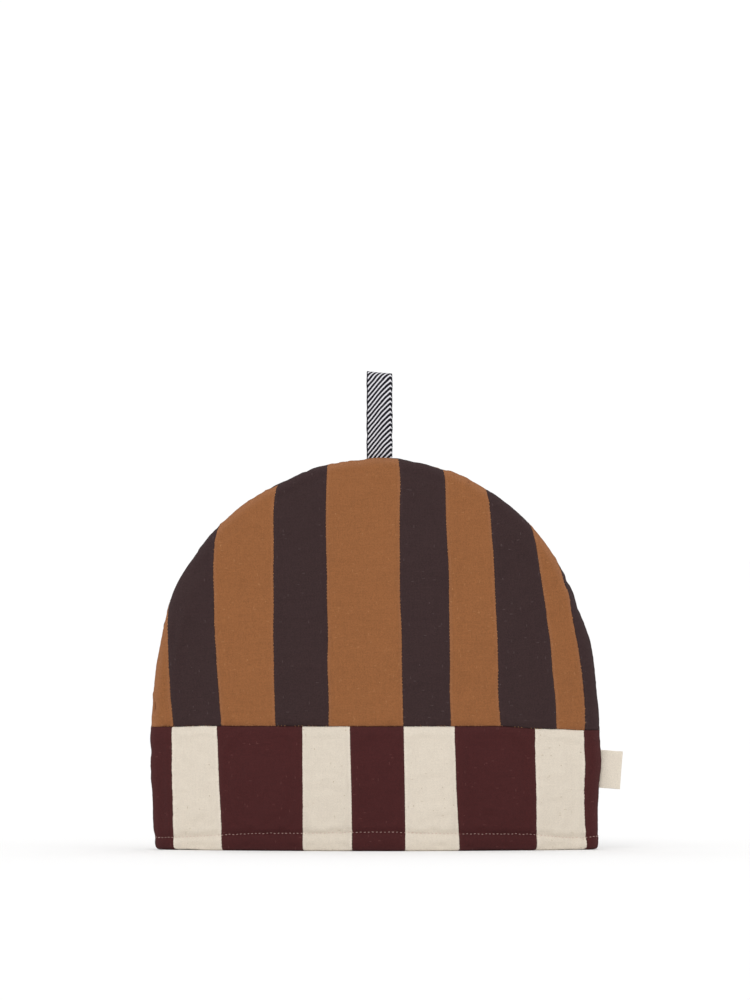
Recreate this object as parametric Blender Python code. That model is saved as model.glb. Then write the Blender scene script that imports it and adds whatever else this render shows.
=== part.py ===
"""A padded tea cosy of pieced cotton canvas, standing open on its hem.

Two padded panels meet at one seam that runs up both sides and over the arched top. Each panel is a
crown sewn to a band at a level waist seam. A folded tape loop stands up from the top of the seam and
a small folded label stands out from its right side.

Metres, +Z up, the front faces -Y. The origin is on the table, under the middle of the whole thing
with its label.
"""

import math
from collections import namedtuple
from functools import partial

import bmesh
import bpy

# Body, seen from the front
BODY_HEIGHT = 0.290
WAIST_HEIGHT = 0.091
WAIST_HALF_WIDTH = 0.1658
FOOT_HALF_WIDTH = 0.1635
ARCH_FULLNESS = 2.1  # 2 is a plain ellipse, and more is squarer in the shoulders

# Body, seen from the side
BELLY = 0.053  # how far each panel's middle stands forward of its rim, at the foot
BELLY_CLOSING = 1.8  # a low number closes the two panels early, a high one near the top
PADDING = 0.0075  # wall of a panel, cloth and wadding together

# Rolled edge beside the seam
EDGE_HALF_DEPTH = 0.009
EDGE_ROLL = 0.007  # how far in from the outline the roll reaches its full depth
ROLL_START = math.radians(-45)  # the roll starts tucked in towards the seam
ROLL_STEPS = 5
SEAM_ALLOWANCE = 0.0068  # the tape ends are caught no deeper than this
SEAM_INSIDE = 0.009  # how far in from the outline the inner faces part
INSIDE_RUN = 0.009  # and how much further in they lie a whole wall behind the outer faces
HALF_GAP = 0.00015  # pieces that touch are drawn 0.3 mm apart

# Hem and waist
FOOT_ROUND = 0.0025
FOOT_ROUND_INSIDE = 0.0015
HEM_STITCH_HEIGHT = 0.0115
HEM_STITCH_DEPTH = 0.0012
HEM_STITCH_SPREAD = 0.0028
WAIST_GROOVE_DEPTH = 0.0009
WAIST_GROOVE_SPREAD = 0.0035

# Hanging loop, of twill tape
TAPE_WIDTH = 0.0195
TAPE_THICKNESS = 0.0012
LOOP_REACH = 0.0640  # above the top of the body
LOOP_ROOT = 0.0064  # length of the ends caught in the seam
LOOP_HALF_OPENING = 0.0046
LOOP_X = 0.0030  # from the body's middle
LOOP_SLANT = 0.0018  # the fold is this much lower at its right end
TAPE_OPENING_SHARE = 0.75  # share of its height over which a folded tape opens out

# Side label, of thin woven tape
LABEL_WIDTH = 0.0280
LABEL_THICKNESS = 0.0005
LABEL_REACH = 0.0165
LABEL_ROOT = 0.0055
LABEL_HALF_OPENING = 0.00045
LABEL_HEIGHT = 0.0598  # of its middle, above the foot
LABEL_DROOP = math.radians(4.5)

# Slots in the seam, which hold the ends of the loop and of the label
TAPE_SLOT = 0.0017  # half the slot's width
TAPE_SLOT_HALF_LENGTH = 0.0135
LABEL_SLOT = 0.0011
LABEL_SLOT_HALF_LENGTH = 0.0175

# Fineness of the meshes
ARCH_STEPS = 80
ROUND_STEPS = 3
PANEL_STEPS = 9  # from the rolled edge to the middle of the panel
PANEL_CROWDING = 1.3  # over 1, the steps are closer together near the edge
TAPE_STEPS = 14
# Shares of the way from where the wall is whole to the middle of the panel's inner face
INSIDE_SHARES = (0, 0.16, 0.38, 0.66, 1)
# Rows of the band: stitch rows in spreads from the topstitch, label rows in half slots from the
# label's middle, plain rows as shares of the way between the two, waist rows in spreads below it
STITCH_ROWS = (-2, -1, 0, 1, 2)
PLAIN_ROWS = (0.33, 0.67)
LABEL_ROWS = (-1.1, -0.95, -0.3, 0.3, 0.95, 1.1)
WAIST_ROWS = (2.2, 1)

# The body stands left of the origin by half of what the label adds to its width.
BODY_X = -LABEL_REACH / 2

# Where the sewn edge of the arch leaves its even curve, a row for each place. turn is in degrees
# round the arch from its right end, and a negative depth is a fuller place.
ArchDip = namedtuple("ArchDip", "turn half_length depth run")
ARCH_DIPS = (
    ArchDip(turn=6.5, half_length=0.016, depth=0.0022, run=0.045),
    ArchDip(turn=25.0, half_length=0.012, depth=0.0022, run=0.040),
    ArchDip(turn=34.0, half_length=0.005, depth=0.0007, run=0.025),
    ArchDip(turn=57.0, half_length=0.006, depth=0.0007, run=0.025),
    ArchDip(turn=75.0, half_length=0.013, depth=0.0012, run=0.030),
    ArchDip(turn=102.0, half_length=0.010, depth=0.0010, run=0.030),
    ArchDip(turn=111.0, half_length=0.015, depth=0.0023, run=0.045),
    ArchDip(turn=119.0, half_length=0.007, depth=0.0008, run=0.030),
    ArchDip(turn=137.0, half_length=0.020, depth=-0.0016, run=0.045),
    ArchDip(turn=151.0, half_length=0.022, depth=-0.0033, run=0.055),
    ArchDip(turn=154.5, half_length=0.005, depth=0.0006, run=0.025),
    ArchDip(turn=171.5, half_length=0.008, depth=0.0007, run=0.030),
)

# The same for the straight sides of the band. side is 1 on the right and -1 on the left.
SideDip = namedtuple("SideDip", "side height half_length depth run")
SIDE_DIPS = (
    SideDip(side=1, height=0.0100, half_length=0.005, depth=0.0010, run=0.020),
    SideDip(side=-1, height=0.0100, half_length=0.005, depth=0.0009, run=0.020),
    SideDip(side=-1, height=0.0720, half_length=0.006, depth=0.0009, run=0.025),
    SideDip(side=1, height=0.0340, half_length=0.009, depth=0.0007, run=0.025),
)

# Soft hollows in the face of each panel, and fuller places where depth is negative.
FaceDip = namedtuple("FaceDip", "x height half_width half_height depth")
FRONT_DIPS = (
    FaceDip(x=-0.095, height=0.150, half_width=0.030, half_height=0.055, depth=0.0016),
    FaceDip(x=0.105, height=0.175, half_width=0.026, half_height=0.040, depth=0.0020),
    FaceDip(x=0.020, height=0.215, half_width=0.060, half_height=0.030, depth=-0.0012),
    FaceDip(x=-0.060, height=0.048, half_width=0.045, half_height=0.024, depth=-0.0010),
    FaceDip(x=0.110, height=0.050, half_width=0.030, half_height=0.026, depth=-0.0012),
)
BACK_DIPS = (
    FaceDip(x=0.085, height=0.140, half_width=0.035, half_height=0.050, depth=0.0018),
    FaceDip(x=-0.070, height=0.190, half_width=0.030, half_height=0.035, depth=0.0014),
    FaceDip(x=0.010, height=0.060, half_width=0.055, half_height=0.030, depth=-0.0012),
)

Finish = namedtuple("Finish", "colour roughness")
OCHRE_CANVAS = Finish(colour=(0.305, 0.122, 0.046), roughness=0.9)
BURGUNDY_CANVAS = Finish(colour=(0.069, 0.021, 0.021), roughness=0.9)
TWILL_TAPE = Finish(colour=(0.180, 0.180, 0.195), roughness=0.85)
CREAM_TAPE = Finish(colour=(0.640, 0.560, 0.470), roughness=0.85)

FRONT = -1
BACK = 1


def clear_scene():
    for obj in list(bpy.data.objects):
        bpy.data.objects.remove(obj, do_unlink=True)


def cloth_material(name, finish):
    material = bpy.data.materials.new(name)
    material.use_nodes = True
    shader = material.node_tree.nodes["Principled BSDF"]
    shader.inputs["Base Color"].default_value = (*finish.colour, 1)
    shader.inputs["Roughness"].default_value = finish.roughness
    shader.inputs["Metallic"].default_value = 0
    return material


def bell(distance, spread):
    """1 at distance 0, and next to nothing at twice the spread."""
    return math.exp(-((distance / spread) ** 2))


def ease(share):
    """A smooth step from 0 to 1."""
    share = min(1, max(0, share))
    return share * share * (3 - 2 * share)


def arch_point(turn):
    """Offset of the even arch from the middle of the waist seam, at this turn from its right end."""
    power = 2 / ARCH_FULLNESS
    across = math.cos(turn)
    return (
        WAIST_HALF_WIDTH * math.copysign(abs(across) ** power, across),
        (BODY_HEIGHT - WAIST_HEIGHT) * abs(math.sin(turn)) ** power,
    )


def half_width(height):
    """Half the body's width at a height, seen from the front."""
    if height < WAIST_HEIGHT:
        share = 1 - height / WAIST_HEIGHT
        return WAIST_HALF_WIDTH - (WAIST_HALF_WIDTH - FOOT_HALF_WIDTH) * share * share
    rise = min(1, (height - WAIST_HEIGHT) / (BODY_HEIGHT - WAIST_HEIGHT))
    return WAIST_HALF_WIDTH * (1 - rise**ARCH_FULLNESS) ** (1 / ARCH_FULLNESS)


def belly(x, height):
    """How far a panel stands forward of its rim: a lens from above, a pointed arch from the side."""
    across = min(1, abs(x) / max(half_width(height), EDGE_ROLL))
    closing = 1 - min(1, height / BODY_HEIGHT) ** BELLY_CLOSING
    return BELLY * math.cos(across * math.pi / 2) * closing


def drawn_in(x, height, face_dips):
    """How far the hem's topstitch, the waist seam and the soft hollows draw a panel in."""
    hem = HEM_STITCH_DEPTH * bell(height - HEM_STITCH_HEIGHT, HEM_STITCH_SPREAD)
    waist = WAIST_GROOVE_DEPTH * bell(height - WAIST_HEIGHT, WAIST_GROOVE_SPREAD)
    hollows = sum(
        dip.depth * bell(x - dip.x, dip.half_width) * bell(height - dip.height, dip.half_height)
        for dip in face_dips
    )
    return hem + waist + hollows


def rounding(height, radius):
    """How far a quarter-round of this radius stands back at a height above the foot."""
    return radius - math.sqrt(radius**2 - max(0, radius - height) ** 2)


def arch_dip(turn, inward):
    """How far the arch is drawn in at this turn; it fades out over each dip's run into the panel."""
    length_per_turn = math.hypot(*arch_point(turn))
    return sum(
        dip.depth
        * bell((turn - math.radians(dip.turn)) * length_per_turn, dip.half_length)
        * (1 - ease(inward / dip.run))
        for dip in ARCH_DIPS
    )


def side_dip(side, height, inward):
    """The same on a straight side of the band."""
    return sum(
        dip.depth * bell(height - dip.height, dip.half_length) * (1 - ease(inward / dip.run))
        for dip in SIDE_DIPS
        if dip.side == side
    )


def roll_profile():
    """The rolled edge beside the seam, as (distance in from the outline, half depth)."""
    bulge = (EDGE_HALF_DEPTH - HALF_GAP) / (1 - math.sin(ROLL_START))
    angles = [ROLL_START + (math.pi / 2 - ROLL_START) * i / ROLL_STEPS for i in range(ROLL_STEPS + 1)]
    return [
        (EDGE_ROLL * (1 - math.cos(angle)), EDGE_HALF_DEPTH - bulge * (1 - math.sin(angle)))
        for angle in angles
    ]


def outer_stations(reach):
    """(inward, rolled half depth) from the seam, round the rolled edge, to the panel's middle."""
    shares = [(i / PANEL_STEPS) ** PANEL_CROWDING for i in range(1, PANEL_STEPS + 1)]
    return roll_profile() + [
        (EDGE_ROLL + (reach - EDGE_ROLL) * share, EDGE_HALF_DEPTH) for share in shares
    ]


def inner_stations(reach):
    """Distances in from the outline, from the seam allowance to the panel's middle."""
    whole = SEAM_INSIDE + INSIDE_RUN
    near_seam = [SEAM_ALLOWANCE, SEAM_INSIDE, SEAM_INSIDE + INSIDE_RUN / 2]
    return near_seam + [whole + (reach - whole) * share for share in INSIDE_SHARES]


def seam_half_gap(x, height, inward):
    """Half the gap between the panels at the seam, wider where a tape or a label is caught in it."""
    if inward > SEAM_ALLOWANCE:
        return HALF_GAP
    if height > WAIST_HEIGHT and abs(x - LOOP_X) < TAPE_SLOT_HALF_LENGTH:
        return TAPE_SLOT
    if x > 0 and abs(height - LABEL_HEIGHT) < LABEL_SLOT_HALF_LENGTH:
        return LABEL_SLOT
    return HALF_GAP


def outer_depth(x, height, inward, rolled, gather, face_dips):
    """Half depth of the outer face. It leaves the rolled edge's own section towards the middle."""
    full = ease(inward / (2 * EDGE_ROLL))
    shape = belly(x, height) - drawn_in(x, height, face_dips) - gather
    depth = rolled + shape * full - rounding(height, FOOT_ROUND)
    return max(depth, seam_half_gap(x, height, inward))


def inner_depth(x, height, inward, gather, face_dips):
    """Half depth of the inner face, which is a wall's thickness behind the outer one."""
    wall = PADDING - rounding(height, FOOT_ROUND) - rounding(height, FOOT_ROUND_INSIDE)
    outer = outer_depth(x, height, inward, EDGE_HALF_DEPTH, gather, face_dips)
    parted = ease((inward - SEAM_INSIDE) / INSIDE_RUN)
    return max((outer - wall) * parted, seam_half_gap(x, height, inward))


def crown_place(turn, inward):
    """(x, height, gather) of a point of a crown, this far in from the arch at this turn."""
    across, up = arch_point(turn)
    length = math.hypot(across, up)
    gather = arch_dip(turn, inward)
    share = 1 - (inward + gather) / length
    return across * share, WAIST_HEIGHT + HALF_GAP + up * share, gather


def band_place(side, height, inward):
    """(x, height, gather) of a point of a band, this far in from its straight side."""
    reach = half_width(height)
    gather = side_dip(side, height, inward)
    standing_back = rounding(height, FOOT_ROUND) * (1 - inward / reach)
    return side * (reach - inward - gather - standing_back), height, gather


def section(place, reach, facing, face_dips):
    """Outer and inner points from the seam to the middle, where place(inward) says where each is."""
    outer = []
    for inward, rolled in outer_stations(reach):
        x, height, gather = place(inward)
        depth = outer_depth(x, height, inward, rolled, gather, face_dips)
        outer.append((x, facing * depth, height))
    inner = []
    for inward in inner_stations(reach):
        x, height, gather = place(inward)
        depth = inner_depth(x, height, inward, gather, face_dips)
        inner.append((x, facing * depth, height))
    return outer, inner


def skin_rows(mesh, rows):
    """Faces between neighbouring rows of points. Rows that end in the same point close in a fan."""
    for low, high in zip(rows, rows[1:]):
        for i in range(len(low) - 1):
            corners = [low[i], low[i + 1], high[i + 1], high[i]]
            mesh.faces.new(list(dict.fromkeys(corners)))


def new_object(name, mesh, finish):
    bmesh.ops.recalc_face_normals(mesh, faces=mesh.faces)
    data = bpy.data.meshes.new(name)
    mesh.to_mesh(data)
    mesh.free()
    data.shade_smooth()
    data.set_sharp_from_angle(angle=math.radians(50))
    data.materials.append(cloth_material(f"{name}_cloth", finish))
    obj = bpy.data.objects.new(name, data)
    bpy.context.collection.objects.link(obj)
    return obj


def crown(name, facing, face_dips):
    """The arched upper part of a panel, in spokes from the arch to the middle of the waist seam."""
    mesh = bmesh.new()
    outer = []
    inner = []
    for step in range(ARCH_STEPS + 1):
        turn = math.pi * step / ARCH_STEPS
        reach = math.hypot(*arch_point(turn))
        points = section(partial(crown_place, turn), reach, facing, face_dips)
        for rows, row in zip((outer, inner), points):
            middle = rows[0][-1] if rows else mesh.verts.new(row[-1])
            rows.append([mesh.verts.new(point) for point in row[:-1]] + [middle])
    skin_rows(mesh, outer)
    skin_rows(mesh, inner)
    skin_rows(mesh, [[row[0] for row in outer], [row[0] for row in inner]])
    mesh.faces.new(outer[0] + outer[-1][-2::-1] + inner[-1] + inner[0][-2::-1])
    return new_object(name, mesh, OCHRE_CANVAS)


def band_heights():
    """Heights of the band's rows, closer together at the foot, the topstitch and the waist."""
    foot = [
        FOOT_ROUND * (1 - math.cos(math.pi / 2 * i / ROUND_STEPS)) for i in range(ROUND_STEPS + 1)
    ]
    stitch = [HEM_STITCH_HEIGHT + HEM_STITCH_SPREAD * row for row in STITCH_ROWS]
    label = [LABEL_HEIGHT + LABEL_SLOT_HALF_LENGTH * row for row in LABEL_ROWS]
    plain = [stitch[-1] + (label[0] - stitch[-1]) * row for row in PLAIN_ROWS]
    waist = [WAIST_HEIGHT - WAIST_GROOVE_SPREAD * row for row in WAIST_ROWS]
    return foot + stitch + plain + label + waist + [WAIST_HEIGHT - HALF_GAP]


def band(name, facing, face_dips):
    """The lower part of a panel, in level rows from the foot to the waist seam."""
    mesh = bmesh.new()
    outer = []
    inner = []
    for height in band_heights():
        reach = half_width(height)
        right, left = (
            section(partial(band_place, side, height), reach, facing, face_dips) for side in (1, -1)
        )
        for rows, from_right, from_left in zip((outer, inner), right, left):
            rows.append([mesh.verts.new(point) for point in from_right + from_left[-2::-1]])
    skin_rows(mesh, outer)
    skin_rows(mesh, inner)
    for end in (0, -1):
        skin_rows(mesh, [[row[end] for row in outer], [row[end] for row in inner]])
        mesh.faces.new(outer[end] + inner[end][::-1])
    return new_object(name, mesh, BURGUNDY_CANVAS)


def fold_path(reach, root, half_opening, thickness):
    """(y, z) of the middle of a tape: up from its caught end, round the fold, and down again."""
    half_root = HALF_GAP + thickness / 2
    radius = half_opening + thickness / 2
    top = reach - radius - thickness / 2
    leg = []
    for step in range(TAPE_STEPS):
        z = -root + (top + root) * step / TAPE_STEPS
        opened = ease(z / (top * TAPE_OPENING_SHARE))
        leg.append((half_root + (radius - half_root) * opened, z))
    turns = [math.pi * step / TAPE_STEPS for step in range(TAPE_STEPS + 1)]
    fold = [(-radius * math.cos(turn), top + radius * math.sin(turn)) for turn in turns]
    return [(-y, z) for y, z in leg] + fold + leg[::-1]


def beside(path, distance):
    """The path moved sideways, to its left as it runs."""
    moved = []
    for i, (y, z) in enumerate(path):
        before = path[max(0, i - 1)]
        after = path[min(len(path) - 1, i + 1)]
        along_y, along_z = after[0] - before[0], after[1] - before[1]
        length = math.hypot(along_y, along_z)
        moved.append((y - along_z / length * distance, z + along_y / length * distance))
    return moved


def folded_tape(name, width, thickness, path, slant, finish):
    """A tape on a folded path in the YZ plane, its width along X."""
    mesh = bmesh.new()
    top = max(z for _, z in path)

    def line(x, distance):
        lower = slant * (x / width + 0.5)
        return [mesh.verts.new((x, y, z - lower * max(0, z / top))) for y, z in beside(path, distance)]

    corners = [
        line(x, distance)
        for x, distance in (
            (-width / 2, thickness / 2),
            (width / 2, thickness / 2),
            (width / 2, -thickness / 2),
            (-width / 2, -thickness / 2),
        )
    ]
    skin_rows(mesh, corners + corners[:1])
    for end in (0, -1):
        mesh.faces.new([corner[end] for corner in corners])
    return new_object(name, mesh, finish)


def hanging_loop():
    path = fold_path(LOOP_REACH, LOOP_ROOT, LOOP_HALF_OPENING, TAPE_THICKNESS)
    loop = folded_tape("hanging_loop", TAPE_WIDTH, TAPE_THICKNESS, path, LOOP_SLANT, TWILL_TAPE)
    loop.location = (BODY_X + LOOP_X, 0, BODY_HEIGHT)


def side_label():
    path = fold_path(LABEL_REACH, LABEL_ROOT, LABEL_HALF_OPENING, LABEL_THICKNESS)
    label = folded_tape("side_label", LABEL_WIDTH, LABEL_THICKNESS, path, 0, CREAM_TAPE)
    label.location = (BODY_X + half_width(LABEL_HEIGHT), 0, LABEL_HEIGHT)
    label.rotation_euler = (0, math.pi / 2 + LABEL_DROOP, 0)


def main():
    clear_scene()
    for word, facing, face_dips in (("front", FRONT, FRONT_DIPS), ("back", BACK, BACK_DIPS)):
        for part in (crown(f"{word}_crown", facing, face_dips), band(f"{word}_band", facing, face_dips)):
            part.location = (BODY_X, 0, 0)
    hanging_loop()
    side_label()


main()
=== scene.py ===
"""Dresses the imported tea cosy: four padded panels of pieced canvas, the twill loop, the bare label
and the stitching.

Each panel is cut flat, as a maker would cut it, and then laid over the body. A flat place is metres
right of the body's middle and metres above the foot, and the cut runs on past the body's outline,
round the rolled edge, to the seam. Metres, +Z up, the front faces -Y.
"""

import math
from collections import namedtuple
from functools import lru_cache

import bpy
import numpy as np
from bpy.props import FloatProperty, FloatVectorProperty, IntProperty, PointerProperty
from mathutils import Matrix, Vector
from mathutils.geometry import delaunay_2d_cdt
from mathutils.kdtree import KDTree


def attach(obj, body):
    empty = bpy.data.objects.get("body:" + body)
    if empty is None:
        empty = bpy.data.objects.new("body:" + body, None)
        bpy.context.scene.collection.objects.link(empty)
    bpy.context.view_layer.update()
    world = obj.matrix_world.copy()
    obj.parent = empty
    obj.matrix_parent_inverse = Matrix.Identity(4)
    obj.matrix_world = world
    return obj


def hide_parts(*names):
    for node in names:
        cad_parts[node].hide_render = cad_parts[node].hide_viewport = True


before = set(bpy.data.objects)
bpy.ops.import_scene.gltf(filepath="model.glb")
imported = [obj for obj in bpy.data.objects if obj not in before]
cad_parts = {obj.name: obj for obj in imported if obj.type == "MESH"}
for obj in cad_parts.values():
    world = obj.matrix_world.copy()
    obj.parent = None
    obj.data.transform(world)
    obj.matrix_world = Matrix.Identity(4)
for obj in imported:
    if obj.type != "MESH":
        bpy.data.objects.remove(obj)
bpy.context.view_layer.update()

bl_info = {
    "name": "Pieced Tea Cosy",
    "version": (1, 0, 0),
    "blender": (4, 5, 0),
    "location": "3D View > Sidebar > Tea Cosy",
    "description": "Pieced canvas panels, twill loop, label and stitching for a padded tea cosy",
    "category": "Add Mesh",
}

# Body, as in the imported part
BODY_HEIGHT = 0.290
WAIST_HEIGHT = 0.091
ARCH_HEIGHT = BODY_HEIGHT - WAIST_HEIGHT
WAIST_HALF_WIDTH = 0.1658
FOOT_HALF_WIDTH = 0.1635
ARCH_FULLNESS = 2.1
BELLY = 0.053
BELLY_CLOSING = 1.8
PADDING = 0.0075
EDGE_HALF_DEPTH = 0.009
EDGE_ROLL = 0.007
ROLL_START = math.radians(-45)
SEAM_ALLOWANCE = 0.0068
SEAM_INSIDE = 0.009
INSIDE_RUN = 0.009
HALF_GAP = 0.00015
FOOT_ROUND = 0.0025
FOOT_ROUND_INSIDE = 0.0015
HEM_STITCH_DEPTH = 0.0012
HEM_STITCH_SPREAD = 0.0028
WAIST_GROOVE_DEPTH = 0.0009
WAIST_GROOVE_SPREAD = 0.0035

# Loop and label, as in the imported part
TAPE_WIDTH = 0.0190
TAPE_THICKNESS = 0.0012
LOOP_REACH = 0.0640
LOOP_ROOT = 0.0064
LOOP_HALF_OPENING = 0.0046
LOOP_X = 0.0030
LOOP_SLANT = 0.0018
TAPE_OPENING_SHARE = 0.75
LABEL_WIDTH = 0.0280
LABEL_THICKNESS = 0.0005
LABEL_REACH = 0.0165
LABEL_ROOT = 0.0055
LABEL_HALF_OPENING = 0.00045
LABEL_HEIGHT = 0.0598
LABEL_DROOP = math.radians(4.5)
TAPE_SLOT = 0.0017
TAPE_SLOT_HALF_LENGTH = 0.0135
LABEL_SLOT = 0.0011
LABEL_SLOT_HALF_LENGTH = 0.0175
BODY_X = -LABEL_REACH / 2

# Uneven places of the sewn edge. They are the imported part's, drawn out finer. A negative depth is a
# fuller place. Round the arch: degrees from its right end, half length, depth, run inwards.
ARCH_DIPS = (
    (7.5, 0.016, 0.0010, 0.045),
    (17.0, 0.009, -0.0004, 0.030),
    (25.5, 0.011, 0.0020, 0.040),
    (31.5, 0.006, 0.0011, 0.025),
    (45.0, 0.028, -0.0007, 0.045),
    (62.5, 0.010, 0.0005, 0.025),
    (75.0, 0.013, 0.0011, 0.030),
    (81.0, 0.008, 0.0008, 0.030),
    (93.0, 0.004, 0.0008, 0.020),
    (95.8, 0.004, -0.0005, 0.020),
    (96.5, 0.015, 0.0018, 0.035),
    (102.5, 0.009, 0.0012, 0.030),
    (106.5, 0.007, 0.0010, 0.030),
    (111.0, 0.015, 0.0022, 0.045),
    (117.0, 0.014, 0.0020, 0.030),
    (122.6, 0.005, 0.0006, 0.025),
    (137.0, 0.020, -0.0016, 0.045),
    (145.5, 0.012, -0.0006, 0.030),
    (151.0, 0.022, -0.0033, 0.055),
    (171.5, 0.008, 0.0006, 0.030),
    (176.2, 0.005, 0.0006, 0.025),
)
# The back panel's cloth stands a little further out here, and shows past the front's edge.
BACK_FULLER = ((115.8, 0.008, -0.0007, 0.020), (28.0, 0.014, -0.0012, 0.020))
# Down the sides: side (1 is the right), height, half length, depth, run inwards
SIDE_DIPS = (
    (1, 0.0060, 0.009, -0.0012, 0.020),
    (1, 0.0105, 0.003, 0.0007, 0.015),
    (1, 0.0320, 0.007, 0.0003, 0.025),
    (1, 0.0650, 0.014, -0.0013, 0.025),
    (-1, 0.0000, 0.004, 0.0015, 0.015),
    (-1, 0.0095, 0.004, 0.0011, 0.020),
    (-1, 0.0515, 0.005, -0.0004, 0.025),
    (-1, 0.0660, 0.017, -0.0008, 0.030),
    (-1, 0.0725, 0.005, 0.0007, 0.025),
    (-1, 0.0830, 0.007, -0.0007, 0.025),
)
# Soft hollows in the faces: x, height, half width, half height, depth
FRONT_DIPS = (
    (-0.095, 0.150, 0.030, 0.055, 0.0016),
    (0.105, 0.175, 0.026, 0.040, 0.0020),
    (0.020, 0.215, 0.060, 0.030, -0.0012),
    (-0.060, 0.048, 0.045, 0.024, -0.0010),
    (0.110, 0.050, 0.030, 0.026, -0.0012),
)
BACK_DIPS = (
    (0.085, 0.140, 0.035, 0.050, 0.0018),
    (-0.070, 0.190, 0.030, 0.035, 0.0014),
    (0.010, 0.060, 0.055, 0.030, -0.0012),
)
# Small deep puckers on the front's rolled edge, placed on the flat cut, with the same columns
EDGE_PUCKERS = (
    (-0.1643, 0.1058, 0.00065, 0.0032, 0.0028),
    (0.0700, 0.2722, 0.0010, 0.0009, 0.0013),
    (0.0586, 0.2778, 0.0011, 0.0008, 0.0011),
)

# Seams between the strips of a crown: how far right of the middle each one is at these heights,
# from the waist up. From the left, the strips between them are ochre and plum by turns.
CROWN_SEAM_HEIGHTS = (0.0915, 0.114, 0.137, 0.160, 0.183, 0.206, 0.229, 0.2525, 0.276, 0.300)
CROWN_SEAMS = (
    (-0.1493, -0.1522, -0.1532, -0.1535, -0.1523, -0.1526, -0.1524, -0.1519, -0.1512, -0.1505),
    (-0.1135, -0.1156, -0.1172, -0.1185, -0.1182, -0.1194, -0.1181, -0.1150, -0.1125, -0.1121),
    (-0.0734, -0.0748, -0.0752, -0.0759, -0.0750, -0.0757, -0.0751, -0.0759, -0.0748, -0.0698),
    (-0.0347, -0.0344, -0.0356, -0.0348, -0.0359, -0.0358, -0.0367, -0.0367, -0.0364, -0.0359),
    (0.0206, 0.0201, 0.0194, 0.0195, 0.0181, 0.0181, 0.0180, 0.0179, 0.0187, 0.0159),
    (0.0559, 0.0549, 0.0549, 0.0548, 0.0546, 0.0544, 0.0527, 0.0520, 0.0519, 0.0492),
    (0.0929, 0.0904, 0.0909, 0.0901, 0.0886, 0.0881, 0.0864, 0.0847, 0.0822, 0.0791),
    (0.1341, 0.1330, 0.1305, 0.1291, 0.1256, 0.1215, 0.1179, 0.1136, 0.1092, 0.1052),
    (0.1552, 0.1559, 0.1521, 0.1478, 0.1467, 0.1381, 0.1332, 0.1257, 0.1196, 0.1143),
)
# The same for a band, whose strips are burgundy and cream by turns, burgundy first
BAND_SEAM_HEIGHTS = (0.0, 0.046, 0.0915)
BAND_SEAMS = (
    (-0.1494, -0.1501, -0.1506),
    (-0.1130, -0.1154, -0.1174),
    (-0.0536, -0.0538, -0.0541),
    (-0.0172, -0.0177, -0.0190),
    (0.0220, 0.0217, 0.0207),
    (0.0624, 0.0597, 0.0582),
    (0.1191, 0.1189, 0.1179),
    (0.1558, 0.1545, 0.1542),
)
# The waist seam and the hem's topstitch both waver: x, height
WAIST_LINE = (
    (-0.175, 0.0909), (-0.145, 0.0910), (-0.128, 0.0917), (0.095, 0.0917),
    (0.115, 0.0897), (0.139, 0.0892), (0.149, 0.0883), (0.175, 0.0885),
)
HEM_STITCH_LINE = (
    (-0.180, 0.0086), (-0.150, 0.0092), (-0.122, 0.0110), (-0.085, 0.0129), (-0.045, 0.0131),
    (-0.012, 0.0140), (0.016, 0.0141), (0.030, 0.0133), (0.055, 0.0126), (0.115, 0.0121),
    (0.130, 0.0103), (0.150, 0.0085), (0.162, 0.0098),
)
HEM_TURNING = 0.0160  # the turned-under cloth ends this high on the inside
TURNING_THICKNESS = 0.0006
WAIST_STITCH = 0.0017
WAIST_NOTCH = 0.00034
WAIST_NOTCH_SHARES = np.random.default_rng(61).uniform(0.1, 1.0, 97)
WAIST_STEP = 0.0012  # the waist seam's inner edge lies this much higher than its outer one
HEM_CREASE = 0.00028
HEM_CREASE_WIDTH = 0.0009
HEM_STITCH_PITCH = 0.0030
STRIP_CREASE_WIDTH = 0.00085
WAIST_CREASE_WIDTH = 0.0008

# The cut's rows of points beside a strip's seam and the waist seam: distance from it, gap along it
ROWS_BESIDE_STRIP = ((0.0005, 0.0012), (0.0011, 0.0013), (0.0020, 0.0015), (0.0032, 0.0017))
ROWS_BESIDE_WAIST = ((0.0005, 0.0012), (0.0011, 0.0013), (0.0020, 0.0015), (0.0034, 0.0017))
ROWS_BESIDE_HEM_STITCH = (0, 0.0006, -0.0006, 0.0013, -0.0013, 0.0023, -0.0023, 0.0036, -0.0036)
ROW_GAP = 0.0013
LEVEL_CLEARANCE, BESIDE_CLEARANCE = 0.00036, 0.00042
SEAM_STEP = 0.00075
NOTCH_AT_RIGHT, NOTCH_AT_LEFT = 0.00040, 0.00016
EDGE_STEP = 0.0016
CUT_SPACING, QUICK_CUT_SPACING = 0.0018, 0.0026
# The inner cloth's rows round the edge seam, by distance in, and along the turned hem, by height
INNER_EDGE_ROWS = (0.0045, 0.0068, 0.0079, 0.0090, 0.0112, 0.0135, 0.0158, 0.0180)
INNER_HEM_ROWS = (0.0003, 0.0008, 0.0015, 0.0025, HEM_TURNING - 0.0009, HEM_TURNING + 0.0012)

# The settling of the canvas over its wadding
SETTLING_SPACING = 0.0034
HOLD_ON_FACE, HOLD_ON_ROLL, HOLD_AT_SEAM = 0.35, 0.6, 0.95
MOST_SETTLED = 0.0012

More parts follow.
